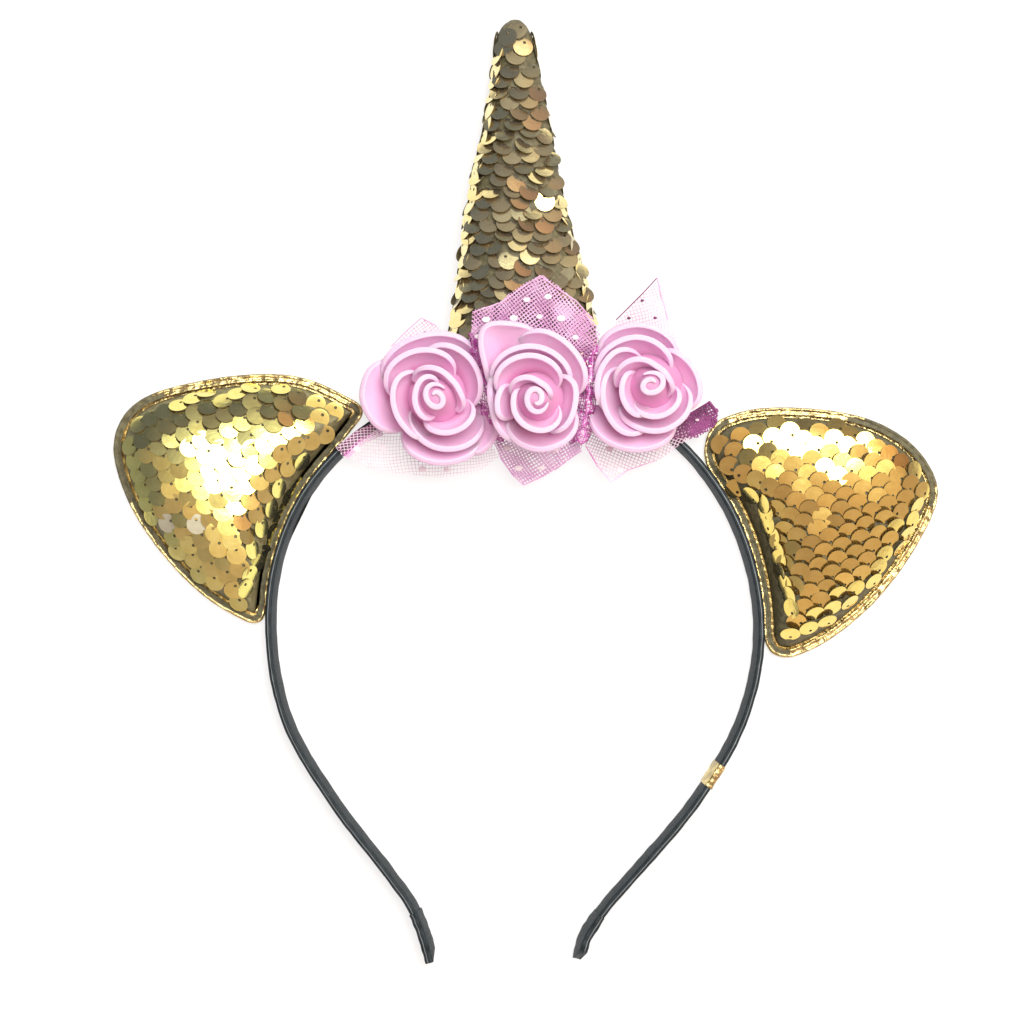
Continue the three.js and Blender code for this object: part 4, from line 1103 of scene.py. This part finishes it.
def build_rose(name, rose):
    points, root_to_lips, slims, faces = [], [], [], []
    sheets = [(petal_sheet(rose, *row), *PETAL_GRID) for row in PETALS[name]]
    sheets.append((bud_sheet(rose), *BUD_GRID))
    first = 0
    for sheet, across, along in sheets:
        ends = np.abs(np.linspace(-1, 1, across)) ** PETAL["slim"]
        slims.append(np.repeat(1 - PETAL["slimmer"] * ends, along))
        points.append(sheet)
        root_to_lips.append(np.tile(np.linspace(0, 1, along), across))
        faces += grid_faces(across, along, first=first)
        first += len(sheet)
    cone = heart_sheet(rose)
    faces += grid_faces(len(HEART), HEART_SIDES, True, first)
    faces.append(tuple(range(first + len(cone) - HEART_SIDES, first + len(cone))))
    points.append(cone)
    # The cone between the petals is in painted shade
    root_to_lips.append(np.full(len(cone), HEART_PAINTED_SHADE))
    slims.append(np.ones(len(cone)))
    nodes = [f"{name}_{layer}" for layer in ("outer", "middle", "inner", "bud")]
    piece = make_piece(f"{name}_foam", np.vstack(points), faces, ["foam"], nodes)
    set_root_to_lip(piece, np.concatenate(root_to_lips))
    group = piece.vertex_groups.new(name="slim")
    for vertex, weight in enumerate(np.concatenate(slims)):
        group.add([vertex], float(weight), "REPLACE")
    thick = piece.modifiers.new("foam", "SOLIDIFY")
    thick.thickness = FOAM * MM
    thick.offset = 0.0
    thick.vertex_group = "slim"
    thick.edge_crease_inner = PETAL["crease"]
    thick.edge_crease_outer = PETAL["crease"]
    soft = piece.modifiers.new("soft", "SUBSURF")
    soft.levels = 2
    soft.render_levels = 2


def build_post():
    """Foam post under the middle rose."""
    low, high = (np.array(corner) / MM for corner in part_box("rose_middle_stem"))
    x, y, _ = (low + high) / 2
    angles = np.linspace(0, 2 * np.pi, POST["sides"], endpoint=False)
    rings = []
    for share in np.linspace(0, 1, POST["rings"]):
        radius = POST["radius"] + POST["waist"] * math.cos(2 * math.pi * share)
        z = np.full(len(angles), low[2] + share * (high[2] - low[2]))
        rings.append(np.column_stack([x + radius * np.cos(angles), y + radius * np.sin(angles), z]))
    points = np.vstack(rings)
    points[:, :2] += crinkle(points, *POST["wave"])[:, None]
    faces = capped_faces(POST["rings"], POST["sides"])
    post = make_piece("rose_middle_post", points, faces, ["foam"], ["rose_middle_stem"])
    # The post under the rose is in painted shade
    set_root_to_lip(post, np.full(len(points), POST_PAINTED_SHADE))


# Net

class Threads:
    """Mesh of thin four-sided threads and flat dots, each in a finish of its own."""

    def __init__(self):
        self.points, self.faces, self.finish = [], [], []

    def add(self, points, faces, finish):
        self.points += points
        self.faces += faces
        self.finish += [finish] * len(faces)

    def thread(self, line, width, thick, finish):
        line = np.asarray(line, float)
        t = np.gradient(line, axis=0)
        side = np.cross(t, [0.0, 0.0, 1.0])
        side /= np.linalg.norm(side, axis=1, keepdims=True) + 1e-9
        up = np.cross(side, t)
        up /= np.linalg.norm(up, axis=1, keepdims=True) + 1e-9
        points = []
        for p, a, b in zip(line, side * width / 2, up * thick / 2):
            points += [p + a + b, p - a + b, p - a - b, p + a - b]
        self.add(points, turned_over(capped_faces(len(line), 4, len(self.points))), finish)

    def dot(self, place, radius, finish, sides=12):
        points = []
        for share, z in DOT_RINGS:
            r = share * radius
            for a in np.linspace(0, 2 * np.pi, sides, endpoint=False):
                points.append(place + np.array([r * math.cos(a), DOT["oval"] * r * math.sin(a), z]))
        self.add(points, capped_faces(len(DOT_RINGS), sides, len(self.points)), finish)

    def piece(self, name, nodes=()):
        names = sorted(set(self.finish), key=list(NETS).index)
        piece = make_piece(name, np.array(self.points), self.faces, names, nodes, smooth=False)
        set_indices(piece, [names.index(finish) for finish in self.finish])
        return piece


def leaf_height(leaf, x, y):
    (ax, ay), (bx, by) = leaf["axis"]
    length = math.hypot(bx - ax, by - ay)
    dx, dy = (bx - ax) / length, (by - ay) / length
    along = ((x - ax) * dx + (y - ay) * dy) / length
    across = ((x - ax) * -dy + (y - ay) * dx)
    z = leaf["low"] + (leaf["high"] - leaf["low"]) * np.clip(along, 0, 1) ** 3
    if "arch" in leaf:
        z = z + leaf["arch"] * (1 - (across / ARCH["half"]) ** 2)
        z = z - ARCH["drop"] * np.maximum(0, -along) ** ARCH["power"]
    return z


def weave_layer(threads, leaf, outline, layer):
    """One layer of net over a leaf: two sets of threads, square to each other."""
    middle = outline.mean(axis=0)
    reach = np.linalg.norm(outline - middle, axis=1).max() + 1.0
    width = NET["thread"] * NET["wide"].get(leaf["finish"], 1.0)
    scale, size, seed = NET["crinkle"]
    for cross, over in ((0.0, -1), (90.0, 1)):
        angle = math.radians(leaf["threads"] + layer * NET["turn"] + cross)
        direction = np.array([math.cos(angle), math.sin(angle)])
        step = np.array([-direction[1], direction[0]])
        for i, offset in enumerate(np.arange(-reach, reach, NET["cell"])):
            start = middle + step * offset
            for t0, t1 in inside_runs(outline, start, direction, 2 * reach):
                if t1 - t0 < NET["shortest"]:
                    continue
                t = np.linspace(t0, t1, max(2, int((t1 - t0) / NET["cell"]) + 1))
                xy = start + t[:, None] * direction
                weave = NET["weave"] * np.where((np.arange(len(t)) + i) % 2 == 0, 1, -1) * over
                spots = np.column_stack([xy, np.zeros(len(t))])
                z = leaf_height(leaf, xy[:, 0], xy[:, 1]) - layer * NET["layer"] + weave
                z = z + crinkle(spots, scale, size, seed + layer)
                drift = [crinkle(spots, *NET["drift"], layer + other) for other in NET["drift_seeds"]]
                x, y = (xy + np.column_stack(drift)).T
                threads.thread(at_height(x, y, z), width, NET["thick"], leaf["finish"])


def fold_edge(threads, leaf, outline, index, tints):
    """Threads along one edge of a leaf, from the edge inward."""
    a, b = outline[index], outline[(index + 1) % len(outline)]
    inward = np.array([a[1] - b[1], b[0] - a[0]]) / np.hypot(*(b - a))
    inward *= np.sign(inward @ (outline.mean(axis=0) - a))
    for step, tint in enumerate(tints):
        along = np.linspace(0, 1, FOLD["points"])[:, None]
        x, y = (a + along * (b - a) + FOLD["pitch"] * step * inward).T
        width = FOLD["width"] * (FOLD["deep"] if tint == "net_deep" else 1.0)
        threads.thread(at_height(x, y, leaf_height(leaf, x, y) + FOLD["lift"]), width, FOLD["thick"], tint)


def build_leaf(name, leaf, rng):
    outline = np.array(leaf["outline"])
    threads = Threads()
    for layer in range(leaf["layers"]):
        weave_layer(threads, leaf, outline, layer)
    for index, finish in leaf["folds"].items():
        fold_edge(threads, leaf, outline, index, [finish])
    for index in leaf.get("hems", []):
        fold_edge(threads, leaf, outline, index, HEM)
    radius = DOT["radius"] * (1.0 if leaf["dots"] == "flock" else DOT["dark"])
    rows = range(-DOT["rows"], DOT["rows"] + 1)
    for i in rows:
        for j in rows:
            spot = outline.mean(axis=0) + DOT["pitch"] * np.array([i + 0.5 * (j % 2), DOT["row"] * j])
            spot = spot + rng.uniform(-DOT["shift"], DOT["shift"], 2)
            if all(is_inside(outline, spot + room) for room in DOT_ROOM):
                place = at_height(*spot, leaf_height(leaf, *spot) + DOT["lift"])
                threads.dot(place, radius * rng.uniform(*DOT["sizes"]), leaf["dots"])
    piece = threads.piece(f"{name}_threads", [name])


def build_tuft(name, tuft, rng):
    """Strip of net bunched up between two roses."""
    line = spline(tuft["line"], 60)
    length = float(np.linalg.norm(np.diff(line, axis=0), axis=1).sum())
    half = tuft["width"] / 2
    threads = Threads()
    lanes = np.arange(-half, half + 0.01, TUFT["lane"])
    stops = np.linspace(0, 1, int(length / TUFT["stop"]))

    def place(share, lane):
        p = np.array([np.interp(share, np.linspace(0, 1, len(line)), line[:, k]) for k in range(3)])
        spot = Vector((CRUMPLE["along"] * share, CRUMPLE["across"] * lane, 0.0))
        p += [size * noise.noise(spot + Vector(shift)) for size, shift in CRUMPLES]
        return at_height(p[0] + lane * TUFT["narrow"], p[1], p[2] - TUFT["fall"] * abs(lane))

    runs = [([place(share, lane) for share in stops], k % 3 == 1) for k, lane in enumerate(lanes)]
    runs += [([place(share, lane) for lane in lanes], k % 3 == 2) for k, share in enumerate(stops)]
    for run, pale in runs:
        threads.thread(run, TUFT["wide"] * NET["thread"], NET["thick"], "net" if pale else "net_rich")
    for _ in range(TUFT_DOT["count"]):
        share = rng.uniform(*TUFT_DOT["along"])
        spot = place(share, rng.uniform(-TUFT_DOT["across"], TUFT_DOT["across"]) * half)
        spot = spot + np.array([0, 0, TUFT_DOT["lift"]])
        threads.dot(spot, rng.uniform(*TUFT_DOT["radii"]), "flock", TUFT_DOT["sides"])
    piece = threads.piece(name)


# Floor, light and camera

def build_stage():
    mesh = bpy.data.meshes.new("floor")
    half = FLOOR["half"]
    corners = [(-half, -half, 0), (half, -half, 0), (half, half, 0), (-half, half, 0)]
    mesh.from_pydata(corners, [], [(0, 1, 2, 3)])
    material, tree, shader = new_material("floor_painted_glow")
    inputs = {0: object_coordinates(tree)}
    far = add_node(tree, "ShaderNodeVectorMath", inputs, operation="LENGTH").outputs["Value"]
    # Painted light: glow and colour by distance from the middle, white near it and dark grey far off
    fill_inputs(tree, shader, {
        "Emission Color": colour_ramp(tree, far, FLOOR_GLOW), "Emission Strength": FLOOR["strength"],
        "Base Color": colour_ramp(tree, far, FLOOR_COLOUR), "Roughness": 0.9, "Specular IOR Level": 0.0,
    })
    mesh.materials.append(material)
    floor = bpy.data.objects.new("floor", mesh)
    bpy.context.scene.collection.objects.link(floor)


def share_toward(tree, direction, target):
    """0 to 1 as a direction turns from the side away from the target to the target."""
    inputs = {0: direction, 1: Vector(target).normalized()}
    dot = add_node(tree, "ShaderNodeVectorMath", inputs, operation="DOT_PRODUCT").outputs["Value"]
    return add_node(tree, "ShaderNodeMapRange", {"Value": dot, "From Min": -1.0}).outputs["Result"]


def build_light():
    data = bpy.data.lights.new("key", "AREA")
    data.shape = "DISK"
    data.size = KEY["size"]
    data.energy = KEY["watts"]
    data.color = KEY["colour"]
    lamp = bpy.data.objects.new("key", data)
    lamp.location = KEY["place"]
    lamp.rotation_euler = (-Vector(KEY["place"])).to_track_quat("-Z", "Y").to_euler()
    bpy.context.scene.collection.objects.link(lamp)
    world = bpy.data.worlds.new("studio")
    bpy.context.scene.world = world
    world.use_nodes = True
    tree = world.node_tree
    direction = add_node(tree, "ShaderNodeTexCoord").outputs["Generated"]
    room = (0.0, 0.0, 0.0)
    for operation, toward, stops in ROOM:
        layer = colour_ramp(tree, share_toward(tree, direction, toward), stops)
        room = vector_math(tree, operation, room, layer)
    field = noise_field(tree, PATCHES["scale"], PATCHES["detail"], direction)
    inputs = {0: room, "Scale": remap(tree, field, PATCHES["low"], PATCHES["high"])}
    patchy = add_node(tree, "ShaderNodeVectorMath", inputs, operation="SCALE").outputs["Vector"]
    fill_inputs(tree, tree.nodes["Background"], {"Color": patchy})


def build_camera():
    data = bpy.data.cameras.new("camera")
    data.sensor_width = SENSOR
    data.lens = SENSOR * EYE[2] / VIEW_WIDTH
    data.clip_start = 0.01
    camera = bpy.data.objects.new("camera", data)
    camera.location = [c * MM for c in EYE]
    bpy.context.scene.collection.objects.link(camera)
    bpy.context.scene.camera = camera


build_stage()
build_light()
build_camera()
bpy.context.scene.view_settings.view_transform = "Standard"
rng = np.random.default_rng(SEED)
build_band()
for ear_side, ear_row in EARS.items():
    build_ear(ear_side, ear_row, rng)
build_horn(rng)
for rose_name, rose_row in ROSES.items():
    build_rose(rose_name, rose_row)
build_post()
for leaf_name, leaf_row in LEAVES.items():
    build_leaf(leaf_name, leaf_row, rng)
for tuft_name, tuft_row in TUFTS.items():
    build_tuft(tuft_name, tuft_row, rng)
